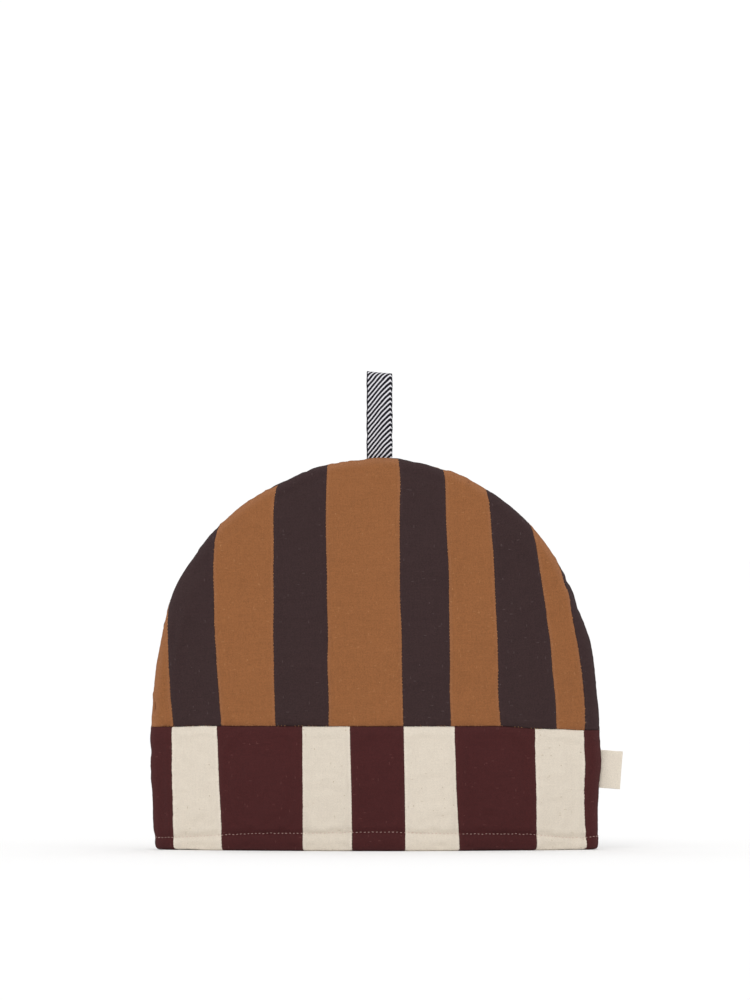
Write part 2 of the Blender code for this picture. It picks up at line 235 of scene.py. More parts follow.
# One padded piece's canvas. facing is -1 for the front, shift is how far its strips lie to the
# right, soft is how far the corners of its seams are rounded off, and up is which way it runs from
# the waist seam.
Cloth = namedtuple(
    "Cloth", "side part facing seed shift face_dips arch_dips puckers seams seam_heights soft up"
)
PARTS = {
    "crown": (CROWN_SEAMS, CROWN_SEAM_HEIGHTS, 0.010, 1),
    "band": (BAND_SEAMS, BAND_SEAM_HEIGHTS, 0.014, -1),
}
# A side's (facing, seed) and its (face dips, arch dips, puckers)
FRONT = (-1, 11), (FRONT_DIPS, ARCH_DIPS, EDGE_PUCKERS)
BACK = (1, 47), (BACK_DIPS, ARCH_DIPS + BACK_FULLER, ())
CLOTHS = {
    (side, part): Cloth(side, part, *first, shift, *dips, *PARTS[part])
    for side, part, (first, dips), shift in (
        ("front", "crown", FRONT, 0.0),
        ("front", "band", FRONT, 0.0),
        ("back", "crown", BACK, -0.0062),
        ("back", "band", BACK, 0.0035),
    )
}


def screen_colour(red, green, blue):
    """A colour read off a screen, 0 to 255, as the linear colour that shaders use."""
    return tuple(
        c / 12.92 if c <= 0.04045 else ((c + 0.055) / 1.055) ** 2.4
        for c in (red / 255, green / 255, blue / 255)
    )


# ---------------------------------------------------------------------------- user's settings


def colour_setting(name, description, *screen, linear=None):
    return FloatVectorProperty(
        name=name,
        description=description,
        default=linear or screen_colour(*screen),
        subtype="COLOR",
        min=0,
        max=1,
    )


def length_setting(name, description, default):
    return FloatProperty(
        name=name, description=description, default=default, unit="LENGTH", precision=5, min=0
    )


def share_setting(name, description, default, **limits):
    return FloatProperty(name=name, description=description, default=default, min=0, **limits)


class CosyCanvas(bpy.types.PropertyGroup):
    """The canvas of the four panels and the cotton inside them"""

    ochre: colour_setting("Ochre", "First strip colour of the crown", 141.5, 90.8, 54.3)
    plum: colour_setting("Plum", "Second strip colour of the crown", 55.5, 40, 40.4)
    burgundy: colour_setting("Burgundy", "First strip colour of the band", 68.7, 31.3, 31.6)
    cream: colour_setting("Cream", "Second strip colour of the band", 215.4, 205, 189.9)
    lining: colour_setting("Lining", "Cotton inside the cover", 205, 195, 178)
    thread_pitch: length_setting(
        "Thread Pitch", "From one thread of the canvas to the next", 0.00056
    )
    lining_pitch: length_setting(
        "Lining Pitch", "From one thread of the lining to the next", 0.00042
    )
    unevenness: share_setting("Unevenness", "How much the threads differ", 1.0, max=3)


class CosySewing(bpy.types.PropertyGroup):
    """How the seams and the padding draw the canvas up"""

    crease: length_setting("Seam Crease", "Depth of the crease along a strip's seam", 0.00055)
    waist_crease: length_setting("Waist Crease", "Depth of the crease at the waist seam", 0.0005)
    allowance: length_setting("Allowance", "Width of the cloth pressed flat behind a seam", 0.0075)
    allowance_rise: length_setting("Allowance Rise", "How far that cloth lifts the strip", 0.00028)
    pucker: length_setting("Pucker", "Depth of the small puckers beside the seams", 0.00018)
    gather: length_setting("Gather", "Depth of the gathers round the rolled edge", 0.00016)
    unevenness: length_setting(
        "Unevenness", "Soft hollows and fuller places of the padding", 0.00045
    )


class CosyLoop(bpy.types.PropertyGroup):
    """The twill tape of the hanging loop"""

    black: colour_setting("Black", "Dark threads of the twill", 17, 15, 25)
    white: colour_setting("White", "Light threads of the twill", 222, 221, 226)
    twill_rise: length_setting(
        "Twill Rise", "From one diagonal to the next, along the tape", 0.00395
    )
    twill_run: length_setting(
        "Twill Run", "From one diagonal to the next, across the tape", 0.00307
    )
    thread_pitch: length_setting("Thread Pitch", "From one thread of the tape to the next", 0.00048)
    edge: length_setting("Edge", "Width of the edge where the twill turns back", 0.0016)
    flattening: share_setting(
        "Flattening", "How much flatter the twill lies towards one edge", 0.35, max=3
    )


class CosyLabel(bpy.types.PropertyGroup):
    """The bare woven label"""

    cloth: colour_setting("Cloth", "Colour of the label's tape", 226, 215.5, 200)
    thread_pitch: length_setting("Thread Pitch", "From one thread of the label to the next", 0.0003)


class CosyStitches(bpy.types.PropertyGroup):
    """The stitching that shows"""

    thread: colour_setting("Hem Thread", "Thread of the hem and the band", 198, 168, 158)
    crown_thread: colour_setting("Crown Thread", "Thread of the crown", 186, 136, 92)
    hem_pitch: length_setting(
        "Hem Pitch", "From one stitch of the hem to the next", HEM_STITCH_PITCH
    )
    hem_length: length_setting("Hem Stitch", "Length of a stitch of the hem", 0.00195)
    seam_pitch: length_setting("Seam Pitch", "From one stitch of a seam to the next", 0.0026)
    seam_length: length_setting("Seam Stitch", "How much of a seam's stitch shows", 0.0010)
    thickness: length_setting("Thickness", "Thickness of the thread", 0.00036)
    seed: IntProperty(name="Seed", description="Which stitches lie uneven", default=5, min=0)


class CosyStage(bpy.types.PropertyGroup):
    """Floor, light and camera"""

    floor: colour_setting("Floor", "Colour of the floor", linear=(0.9, 0.9, 0.9))
    daylight: share_setting("Daylight", "Light from all round", 1.03)
    window: share_setting("Window", "Soft light from the upper left", 0.6)
    lens: FloatProperty(
        name="Lens", description="Focal length", default=600.0, min=1, unit="CAMERA"
    )


SETTINGS = {
    "cosy_canvas": CosyCanvas,
    "cosy_sewing": CosySewing,
    "cosy_loop": CosyLoop,
    "cosy_label": CosyLabel,
    "cosy_stitches": CosyStitches,
    "cosy_stage": CosyStage,
}


# ---------------------------------------------------------------------------- body shape


def bell(distance, spread):
    """1 at distance 0, and next to nothing at twice the spread."""
    return np.exp(-((distance / spread) ** 2))


def ease(share):
    """A smooth step from 0 to 1."""
    share = np.clip(share, 0, 1)
    return share * share * (3 - 2 * share)


def at(line, place):
    """One value of a line that is worked out for many places at a time."""
    return float(line(np.array([place]))[0])


def arc_length(points):
    """How far along a line each of its points is."""
    return np.concatenate([[0], np.cumsum(np.hypot(*np.diff(points, axis=0).T))])


def headings(points):
    """Which way a line runs at each of its points."""
    along = np.gradient(points, axis=0)
    return along / np.linalg.norm(along, axis=1, keepdims=True)


def arch_point(turn):
    power = 2 / ARCH_FULLNESS
    across = np.cos(turn)
    return (
        WAIST_HALF_WIDTH * np.sign(across) * np.abs(across) ** power,
        ARCH_HEIGHT * np.abs(np.sin(turn)) ** power,
    )


def half_width(height):
    """Half the body's width at a height, seen from the front."""
    below = np.clip(1 - height / WAIST_HEIGHT, 0, None)
    rise = np.clip((height - WAIST_HEIGHT) / ARCH_HEIGHT, 0, 1)
    arch = WAIST_HALF_WIDTH * (1 - rise**ARCH_FULLNESS) ** (1 / ARCH_FULLNESS)
    side = WAIST_HALF_WIDTH - (WAIST_HALF_WIDTH - FOOT_HALF_WIDTH) * below**2
    return np.where(below > 0, side, arch)


def belly(x, height):
    across = np.minimum(1, np.abs(x) / np.maximum(half_width(height), EDGE_ROLL))
    closing = 1 - np.clip(height / BODY_HEIGHT, 0, 1) ** BELLY_CLOSING
    return BELLY * np.cos(across * math.pi / 2) * closing


def smooth_line(x, xs, ys, soft):
    """A line through the points of a table with its corners rounded off."""
    return np.mean([np.interp(x + shift, xs, ys) for shift in np.linspace(-soft, soft, 9)], axis=0)


def waist_line(x):
    """The waist seam. Each of its stitches pulls a small notch up into the crown's cloth."""
    stitch = np.asarray(x) / WAIST_STITCH
    depth = WAIST_NOTCH * WAIST_NOTCH_SHARES[np.floor(stitch).astype(int) % len(WAIST_NOTCH_SHARES)]
    notch = depth * np.sin(math.pi * (stitch % 1)) ** 4
    return smooth_line(x, *zip(*WAIST_LINE), 0.006) + notch


def hem_stitch_line(x):
    return smooth_line(x, *zip(*HEM_STITCH_LINE), 0.010)


def seam_x(cloth, row, z):
    """How far right of the middle a seam between strips is, at a height."""
    return smooth_line(z, cloth.seam_heights, cloth.seams[row], cloth.soft) + cloth.shift


def hollows(x, z, dips):
    """How deep the hollows of a table are at a place."""
    return sum(
        depth * bell(x - dip_x, wide) * bell(z - dip_z, tall)
        for dip_x, dip_z, wide, tall, depth in dips
    )


def drawn_in(x, height, cloth):
    """How far the hem's topstitch, the waist seam and the soft hollows draw a panel in."""
    hem = HEM_STITCH_DEPTH * bell(height - hem_stitch_line(x), HEM_STITCH_SPREAD)
    waist = WAIST_GROOVE_DEPTH * bell(height - waist_line(x), WAIST_GROOVE_SPREAD)
    return hem + waist + hollows(x, height, cloth.face_dips)


def rounding(height, radius):
    """How far a quarter-round of this radius stands back at a height above the foot."""
    return radius - np.sqrt(radius**2 - np.clip(radius - np.maximum(height, 0), 0, None) ** 2)


def roll_profile():
    """Length from the panel's face out to the seam, distance in from the outline, half depth."""
    angle = np.linspace(math.pi / 2, ROLL_START, 400)
    bulge = (EDGE_HALF_DEPTH - HALF_GAP) / (1 - math.sin(ROLL_START))
    inward = EDGE_ROLL * (1 - np.cos(angle))
    depth = EDGE_HALF_DEPTH - bulge * (1 - np.sin(angle))
    return arc_length(np.c_[inward, depth]), inward, depth


ROLL_ARC, ROLL_INWARD, ROLL_DEPTH = roll_profile()
ROLL_LENGTH = float(ROLL_ARC[-1])
SEWN_INWARD = float(ROLL_INWARD[-1])


def edge_place(place, inward, cloth=None):
    """(x, height, gather) this far in from the outline, at a place along it: 0 to 1 up the right
    side, then 1 plus the turn round the arch, then down the left side. The outline is even if no
    cloth is given."""
    turn = np.clip(place - 1, 0, math.pi)
    across, up = arch_point(turn)
    length = np.hypot(across, up)
    side = np.where(place < 1 + math.pi / 2, 1, -1)
    height = WAIST_HEIGHT * np.clip(np.where(side > 0, place, 2 + math.pi - place), 0, 1)
    on_side = (place < 1) | (place > 1 + math.pi)
    gather = np.zeros_like(place)
    if cloth:
        arch_gather, side_gather = np.zeros_like(place), np.zeros_like(place)
        for degrees, half_length, depth, run in cloth.arch_dips:
            along = (turn - math.radians(degrees)) * length
            arch_gather += depth * bell(along, half_length) * (1 - ease(inward / run))
        for dip_side, dip_height, half_length, depth, run in SIDE_DIPS:
            fade = bell(height - dip_height, half_length) * (1 - ease(inward / run))
            side_gather += np.where(side == dip_side, depth * fade, 0)
        gather = np.where(on_side, side_gather, arch_gather)
    reach = half_width(height)
    standing_back = rounding(height, FOOT_ROUND) * (1 - inward / reach)
    share = 1 - (inward + gather) / length
    x = np.where(on_side, side * (reach - inward - gather - standing_back), across * share)
    z = np.where(on_side, height, WAIST_HEIGHT + up * share)
    return x, z, gather


@lru_cache(maxsize=None)
def roll_line():
    """The line on the flat cut where the rolled edge starts: places along the edge, points, outward
    normals, and how far along the line each point is."""
    side, arch = np.linspace(0, 1, 200), np.linspace(0, math.pi, 1400)
    rough = np.concatenate([side, 1 + arch[1:], 1 + math.pi + side[1:]])

    def even(place):
        x, z, _ = edge_place(place, EDGE_ROLL)
        return np.c_[np.where(z < FOOT_ROUND, np.sign(x) * (half_width(z) - EDGE_ROLL), x), z]

    arc = arc_length(even(rough))
    steps = np.linspace(0, arc[-1], 1000)
    place = np.interp(steps, arc, rough)
    points = even(place)
    along = headings(points)
    return place, points, np.c_[along[:, 1], -along[:, 0]], steps


def flat_place(flat):
    """Place along the edge and distance in from it, on cloth that isn't rolled."""
    x, z = flat.T
    up = np.maximum(z - WAIST_HEIGHT, 0)
    wide, tall, power = np.abs(x) / WAIST_HALF_WIDTH, up / ARCH_HEIGHT, ARCH_FULLNESS
    ring = np.maximum((wide**power + tall**power) ** (1 / power), 1e-6)
    turn = np.arctan2((tall / ring) ** (power / 2), np.sign(x) * (wide / ring) ** (power / 2))
    height = np.clip(z, 0, WAIST_HEIGHT) / WAIST_HEIGHT
    arch = z > WAIST_HEIGHT
    place = np.where(arch, 1 + turn, np.where(x > 0, height, 2 + math.pi - height))
    on_arch = (1 - ring) * (np.hypot(x, up) / ring)
    return place, np.where(arch, on_arch, half_width(z) - np.abs(x))


def cut_place(flat):
    """For points of the flat cut: place along the edge, distance in from the outline, rolled half
    depth, and distance round the roll (0 on the face of the panel)."""
    place, inward = flat_place(flat)
    rolled = np.full_like(inward, EDGE_HALF_DEPTH)
    round_roll = np.zeros_like(inward)
    places, line, _, _ = roll_line()
    out = np.flatnonzero(inward < EDGE_ROLL)
    for chunk in np.array_split(out, 1 + len(out) // 4000):
        away = flat[chunk, None, :] - line[None]
        near = np.clip(np.argmin((away**2).sum(axis=2), axis=1), 1, len(line) - 2)
        before, after = line[near - 1], line[near + 1]
        step = after - before
        share = np.clip(((flat[chunk] - before) * step).sum(axis=1) / (step**2).sum(axis=1), 0, 1)
        distance = np.linalg.norm(flat[chunk] - before - step * share[:, None], axis=1)
        place[chunk] = places[near - 1] + (places[near + 1] - places[near - 1]) * share
        round_roll[chunk] = distance
        inward[chunk] = np.interp(distance, ROLL_ARC, ROLL_INWARD)
        rolled[chunk] = np.interp(distance, ROLL_ARC, ROLL_DEPTH)
    return place, inward, rolled, round_roll


def caught(x, height, wider, soft):
    """Where the tape and where the label is caught in the edge seam, from 0 to 1."""
    tape = TAPE_SLOT_HALF_LENGTH + wider - np.abs(x - LOOP_X)
    label = LABEL_SLOT_HALF_LENGTH + wider - np.abs(height - LABEL_HEIGHT)
    return ease(tape / soft) * (height > WAIST_HEIGHT), ease(label / soft) * (x > 0)


def seam_half_gap(x, height, inward):
    """Half the gap between the panels, wider where the tape or the label is caught in the seam."""
    held = 1 - ease((inward - SEAM_ALLOWANCE) / 0.0015)
    tape, label = caught(x, height, 0, 0.0025)
    return HALF_GAP + held * ((TAPE_SLOT - HALF_GAP) * tape + (LABEL_SLOT - HALF_GAP) * label)


def seam_lean(x, height, inward):
    """How far the two allowances of the edge seam lie to the back together, so that no light comes
    straight through between the panels."""
    held = np.maximum(*caught(x, height, 0.001, 0.001))
    start = ease((inward - 0.0030) / 0.0012) * (1 - held) + ease((inward - 0.0083) / 0.0006) * held
    return 0.0007 * start * (1 - ease((inward - 0.0105) / 0.0030))


def outer_depth(x, height, inward, rolled, gather, cloth):
    full = ease(inward / (2 * EDGE_ROLL))
    shape = belly(x, height) - drawn_in(x, height, cloth) - gather
    depth = rolled + shape * full - rounding(height, FOOT_ROUND)
    return np.maximum(depth, seam_half_gap(x, height, inward))


def inner_depth(x, height, inward, gather, cloth):
    wall = PADDING - rounding(height, FOOT_ROUND) - rounding(height, FOOT_ROUND_INSIDE)
    outer = outer_depth(x, height, inward, EDGE_HALF_DEPTH, gather, cloth)
    parted = ease((inward - SEAM_INSIDE) / INSIDE_RUN)
    turned = ease((HEM_TURNING - height) / TURNING_THICKNESS) * ease(height / 0.004)
    inside = (outer - wall - TURNING_THICKNESS * turned) * parted
    return np.maximum(inside, seam_half_gap(x, height, inward))


# ---------------------------------------------------------------------------- cloth relief


def waves(along, seed, wavelength, depth):
    """A smooth uneven line, the same each time for one seed."""
    random = np.random.default_rng(seed)
    total = np.zeros_like(along)
    for _ in range(5):
        length = wavelength * random.uniform(0.55, 1.7)
        total += np.sin(2 * math.pi * (along / length + random.random()))
    return depth * total / 2.2


def soft_ground(flat, seed, wavelength, depth):
    """Soft hollows and fuller places that run every way."""
    random = np.random.default_rng(seed)
    total = np.zeros(len(flat))
    for _ in range(16):
        heading = random.uniform(0, math.pi)
        along = flat[:, 0] * math.cos(heading) + flat[:, 1] * math.sin(heading)
        length = wavelength * random.uniform(0.6, 1.6)
        total += np.sin(2 * math.pi * (along / length + random.random()))
    return depth * total / 4


def crease(away, width):
    return np.exp(-np.abs(away) / width)


def pressed(away, sewing):
    """How far the allowance that is pressed to this side of a seam lifts the cloth."""
    end = 1 - ease((away - sewing.allowance) / 0.0022)
    return sewing.allowance_rise * (ease(away / 0.0006) * end)


def seam_relief(x, z, cloth, sewing):
    """Creases along the seams of the strips, the pressed allowances beside them and their puckers,
    and the ridges next to the seams."""
    relief, ridge = np.zeros_like(x), np.zeros_like(x)
    for row in range(len(cloth.seams)):
        away = x - seam_x(cloth, row, z)
        to_dark = away if (row % 2 == 0) == (cloth.part == "crown") else -away
        depth = sewing.crease * (0.8 + waves(z, cloth.seed + row, 0.021, 0.25))
        relief -= depth * crease(away, STRIP_CREASE_WIDTH)
        relief += pressed(to_dark, sewing)
        puckers = waves(z + 0.13 * away, cloth.seed + 31 + row, 0.0085, sewing.pucker)
        relief += bell(away, 0.0050) * puckers
        ridge += bell(np.abs(away) - 0.0011, 0.0007)
    return relief, ridge


def cloth_relief(flat, place, inward, round_roll, cloth, sewing):
    """How far the canvas stands off the body's even shape, and how much it is rubbed."""
    x, z = flat.T
    seed = cloth.seed
    waist, hem = z - waist_line(x), z - hem_stitch_line(x)
    relief, ridge = seam_relief(x, z, cloth, sewing)
    depth = sewing.waist_crease * (0.85 + waves(x, seed + 5, 0.026, 0.25))
    relief -= depth * crease(waist, WAIST_CREASE_WIDTH)
    relief += bell(waist, 0.006) * waves(x, seed + 6, 0.0105, sewing.pucker)
    relief += pressed(-waist, sewing)
    # The topstitch lies in a crease, and the cloth rises between its stitches and below it.
    relief -= HEM_CREASE * crease(hem, HEM_CREASE_WIDTH)
    relief += 0.00010 * np.cos(2 * math.pi * x / HEM_STITCH_PITCH) * bell(hem, 0.0011)
    relief += bell(hem, 0.0065) * waves(x, seed + 8, 0.0095, 0.8 * sewing.pucker)
    relief += 0.0005 * bell(z - 0.0062, 0.0042) * ease(z / 0.003)
    relief += soft_ground(flat, seed + 3, 0.046, sewing.unevenness) * ease((inward - 0.004) / 0.02)
    relief += soft_ground(flat, seed + 4, 0.014, 0.12 * sewing.unevenness)
    # All of that is on the panel's face and fades out over the roll.
    face = 1 - ease(round_roll / (0.55 * ROLL_LENGTH))
    relief *= face
    # Gathers run in from the sewn edge, over the roll, and die out in the face of the panel.
    places, _, _, arc = roll_line()
    along = np.interp(place, places, arc)
    crest = ease((ROLL_LENGTH - round_roll) / (0.30 * ROLL_LENGTH))
    crest *= 1 - ease((inward - 0.004) / 0.017) * (round_roll <= 0)
    lean = along + 0.35 * np.where(round_roll > 0, -round_roll, inward - EDGE_ROLL)
    stronger = 0.6 + waves(along, seed + 79, 0.09, 0.6)
    gathers = waves(lean, seed + 77, 0.0095, sewing.gather) * stronger
    gathers += waves(lean, seed + 78, 0.034, 0.7 * sewing.gather)
    relief += gathers * crest * (1.6 if cloth.side == "back" else 1.0)
    relief -= hollows(x, z, cloth.puckers)
    wear = 0.55 * ridge * face + bell(z, 0.0016) + 0.35 * bell(waist, 0.0015)
    wear += 0.8 * bell(round_roll / ROLL_LENGTH - 0.42, 0.22) * (round_roll > 0)
    return relief * ease((ROLL_LENGTH - round_roll) / 0.002), np.clip(wear, 0, 1)


def body_points(flat, cloth):
    """Where points of the flat cut lie on the body's even shape."""
    place, inward, rolled, round_roll = cut_place(flat)
    x, z, gather = edge_place(place, inward, cloth)
    depth = outer_depth(x, z, inward, rolled, gather, cloth)
    return np.c_[x, cloth.facing * depth, z], place, inward, round_roll


def even_normals(flat, cloth):
    """Which way the body's even shape faces, at points of the flat cut."""
    step = 0.00012
    right, up = (
        body_points(flat + shift, cloth)[0] - body_points(flat - shift, cloth)[0]
        for shift in (np.array([step, 0]), np.array([0, step]))
    )
    normals = np.cross(right, up) * -cloth.facing
    length = np.linalg.norm(normals, axis=1, keepdims=True)
    sideways = np.array([[0.0, cloth.facing, 0.0]])
    return np.where(length > 1e-12, normals / np.maximum(length, 1e-12), sideways)


def new_object(name, data):
    """An object in the scene."""
    made = bpy.data.objects.new(name, data)
    bpy.context.scene.collection.objects.link(made)
    return made


def new_mesh(name, points, faces=(), edges=()):
    mesh = bpy.data.meshes.new(name)
    mesh.from_pydata(points, edges, faces)
    return mesh


def search_tree(places):
    tree = KDTree(len(places))
    for i, (x, z) in enumerate(places):
        tree.insert((x, z, 0), i)
    tree.balance()
    return tree


@lru_cache(maxsize=None)
def settled_canvas(cloth):
    """How far the canvas moves out where it settles over its wadding: places on the flat cut, and
    the distance there. It is a cloth simulation. The canvas is held at its edges and seams, has a
    little more cloth than the body's even shape needs, and is pushed out between the seams."""
    flat, outline, lines, _ = cut_cloth(cloth, SETTLING_SPACING, fine=False)
    faces = triangles(flat, outline, lines)
    points, _, _, round_roll = body_points(flat, cloth)
    mesh = new_mesh("settling", points.tolist(), faces[:, :: -cloth.facing].tolist())
    canvas = new_object("settling", mesh)
    hold = np.where(round_roll > 0, HOLD_ON_ROLL, HOLD_ON_FACE)
    if cloth.part == "band":
        hold[np.abs(flat[:, 1] - hem_stitch_line(flat[:, 0])) < 0.0012] = HOLD_AT_SEAM
    hold[np.array(lines).ravel()] = HOLD_AT_SEAM
    hold[outline] = 1.0
    group = canvas.vertex_groups.new(name="hold")
    for i, weight in enumerate(hold):
        group.add([i], float(weight), "REPLACE")
    modifier = canvas.modifiers.new("settle", "CLOTH")
    for option, value in {
        "quality": 6,
        "mass": 0.3,
        "air_damping": 4,
        "tension_stiffness": 20,
        "compression_stiffness": 20,
        "shear_stiffness": 8,
        "bending_stiffness": 0.4,
        "vertex_group_mass": "hold",
        "pin_stiffness": 1.0,
        "shrink_min": -0.014,
        "use_pressure": True,
        "uniform_pressure_force": 2.5,
    }.items():
        setattr(modifier.settings, option, value)
    modifier.settings.effector_weights.gravity = 0
    modifier.collision_settings.use_collision = False
    modifier.point_cache.frame_start = 1
    modifier.point_cache.frame_end = 22
    for number in range(1, 21):
        bpy.context.scene.frame_set(number)
    settled = canvas.evaluated_get(bpy.context.evaluated_depsgraph_get()).data
    found = np.empty(3 * len(flat), np.float32)
    settled.attributes["position"].data.foreach_get("vector", found)
    bpy.context.scene.frame_set(1)
    bpy.data.objects.remove(canvas)
    bpy.data.meshes.remove(mesh)
    out = ((found.reshape(-1, 3) - points) * even_normals(flat, cloth)).sum(axis=1)
    free = 1 - 0.8 * ease(round_roll / (0.4 * ROLL_LENGTH))
    return search_tree(flat), np.clip(out, -MOST_SETTLED, MOST_SETTLED) * free


def settled_out(flat, cloth):
    """The settled canvas's distance out, at any points of the flat cut."""
    tree, out = settled_canvas(cloth)
    found = np.empty(len(flat))
    for i, (x, z) in enumerate(flat):
        near = tree.find_n((x, z, 0), 6)
        weights = [math.exp(-((distance / 0.0021) ** 2)) + 1e-9 for _, _, distance in near]
        found[i] = sum(w * out[j] for w, (_, j, _) in zip(weights, near)) / sum(weights)
    return found


def cloth_points(flat, cloth, sewing):
    """Where points of the flat cut lie with all of the cloth's relief, and which way they face."""
    points, place, inward, round_roll = body_points(flat, cloth)
    normals = even_normals(flat, cloth)
    relief, wear = cloth_relief(flat, place, inward, round_roll, cloth, sewing)
    relief += settled_out(flat, cloth)
    points = points + normals * relief[:, None]
    points[:, 2] = np.maximum(points[:, 2], 0)
    points[:, 1] = cloth.facing * np.maximum(cloth.facing * points[:, 1], HALF_GAP)
    return points, normals, wear


# ---------------------------------------------------------------------------- cutting the cloth


def spaced_out(kept, candidates, distance):
    """The candidates that are at least this far from the kept points."""
    tree = search_tree(kept)
    far = [p for p in candidates if tree.find((p[0], p[1], 0))[2] >= distance]
    return np.array(far).reshape(-1, 2)


def grid(reach, low, high, spacing):
    """Rows of points, each shifted half a step, that make near-even triangles."""
    x, z = np.meshgrid(np.arange(-reach, reach, spacing), np.arange(low, high, spacing * 0.866))
    x = x + spacing / 2 * (np.arange(len(z)) % 2)[:, None]
    return np.c_[x.ravel(), z.ravel()]


def triangles(points, outline, lines):
    """Triangles between the points, inside the outline and with edges along the lines."""
    found, _, faces, origins, _, _ = delaunay_2d_cdt(
        [Vector(p) for p in points], lines, [outline], 1, 1e-7, True
    )
    if len(found) != len(points):
        raise RuntimeError(f"the cut has {len(points)} points and its triangles have {len(found)}")
    faces = np.array([[origins[i][0] for i in face] for face in faces])
    # The hollows of a wavering outline come back filled, so those triangles are taken out again.
    edge = np.isin(faces, outline).all(axis=1)
    x, z = points[outline].T
    next_x, next_z = np.roll(x, -1), np.roll(z, -1)
    middle_x, middle_z = points[faces[edge]].mean(axis=1).T[..., None]
    crossed = (z > middle_z) != (next_z > middle_z)
    rise = np.where(z == next_z, 1, next_z - z)
    crossing_x = x + (middle_z - z) * (next_x - x) / rise
    keep = np.ones(len(faces), bool)
    keep[edge] = (crossed & (crossing_x > middle_x)).sum(axis=1) % 2 == 1
    return faces[keep]


def waist_edge(x, cloth):
    """The edge of a crown's or a band's cut at the waist seam."""
    return waist_line(x) + cloth.up * HALF_GAP


def on_cloth(places, cloth, seam, margin, above_foot):
    """Whether places lie on the cloth's own side of the waist seam, and above the foot."""
    z = places[:, 1]
    return z > seam + margin if cloth.up > 0 else (z > above_foot) & (z < seam - margin)


def cut_half(height):
    """Half the flat cut's width below the waist, out to the seam."""
    return at(half_width, height) - EDGE_ROLL + ROLL_LENGTH


def foot_heights():
    """Heights of the rows round the foot's quarter-round, above its lowest."""
    return FOOT_ROUND * (1 - np.cos(np.linspace(0, math.pi / 2, 7)))[1:]


def seam_crossing(cloth, row):
    """Where a crown's seam leaves the cut, as (x, height)."""
    z = np.linspace(WAIST_HEIGHT, BODY_HEIGHT + 0.01, 3000)
    x = seam_x(cloth, row, z)
    first = np.flatnonzero(cut_place(np.c_[x, z])[3] >= ROLL_LENGTH - 1e-5)[0]
    return x[first], z[first]


def cut_outline(cloth, fine):
    """The cut's outline as runs of (row, points), and where the strips' seams start and end."""
    rows = range(len(cloth.seams))

    def waist(x):
        return at(lambda xs: waist_edge(xs, cloth), x)

    def seam_at(row, height):
        return at(lambda z: seam_x(cloth, row, z), height)

    def seam_foot(row):
        z = WAIST_HEIGHT
        for _ in range(5):
            x = seam_at(row, z)
            z = waist(x)
        return x, z

    def level_row(height, half, ends, gap_along):
        kept = np.array([x for x, _ in ends])
        xs = np.concatenate([np.arange(-half + 0.0012, half - 0.0006, gap_along), kept])
        far = 0.4 * gap_along
        return [(x, height(x)) for x in np.sort(xs) if x in kept or np.min(np.abs(x - kept)) > far]

    half = cut_half(WAIST_HEIGHT)
    right, left = (half, waist(half)), (-half, waist(-half))
    feet = [seam_foot(row) for row in rows]
    waist_row = level_row(waist, half, feet, WAIST_STITCH / (4 if fine else 1))
    if cloth.part == "crown":
        ends = [seam_crossing(cloth, row) for row in rows]
        _, line, normals, _ = roll_line()
        edge = line + normals * ROLL_LENGTH
        arc = arc_length(edge)
        steps = np.arange(0, arc[-1], EDGE_STEP)
        edge = np.stack([np.interp(steps, arc, places) for places in edge.T], axis=1)
        edge = edge[edge[:, 1] > np.where(edge[:, 0] > 0, right[1], left[1]) + 0.0012]
        edge = np.concatenate([spaced_out(np.array(ends), edge, 0.0007), ends])
        edge = [tuple(place) for place in edge[np.argsort(cut_place(edge)[0])]]
        runs = ("corner", [left]), ("waist", waist_row), ("corner", [right]), ("sewn", edge)
        return runs, feet, ends
    starts = [(seam_at(row, 0.0), 0.0) for row in rows]
    foot = cut_half(0.0)
    foot_row = level_row(lambda x: 0.0, foot, starts, ROW_GAP)
    heights = np.concatenate([foot_heights(), np.arange(0.004, WAIST_HEIGHT, EDGE_STEP)])
    up_right = [(cut_half(h), h) for h in heights if h < right[1] - 0.0008]
    up_left = [(-cut_half(h), h) for h in heights if h < left[1] - 0.0008]
    runs = (
        ("corner", [(-foot, 0.0)]),
        ("foot", foot_row),
        ("corner", [(foot, 0.0)]),
        ("sewn", up_right),
        ("corner", [right]),
        ("waist", waist_row[::-1]),
        ("corner", [left]),
        ("sewn", up_left[::-1]),
    )
    return runs, starts, feet


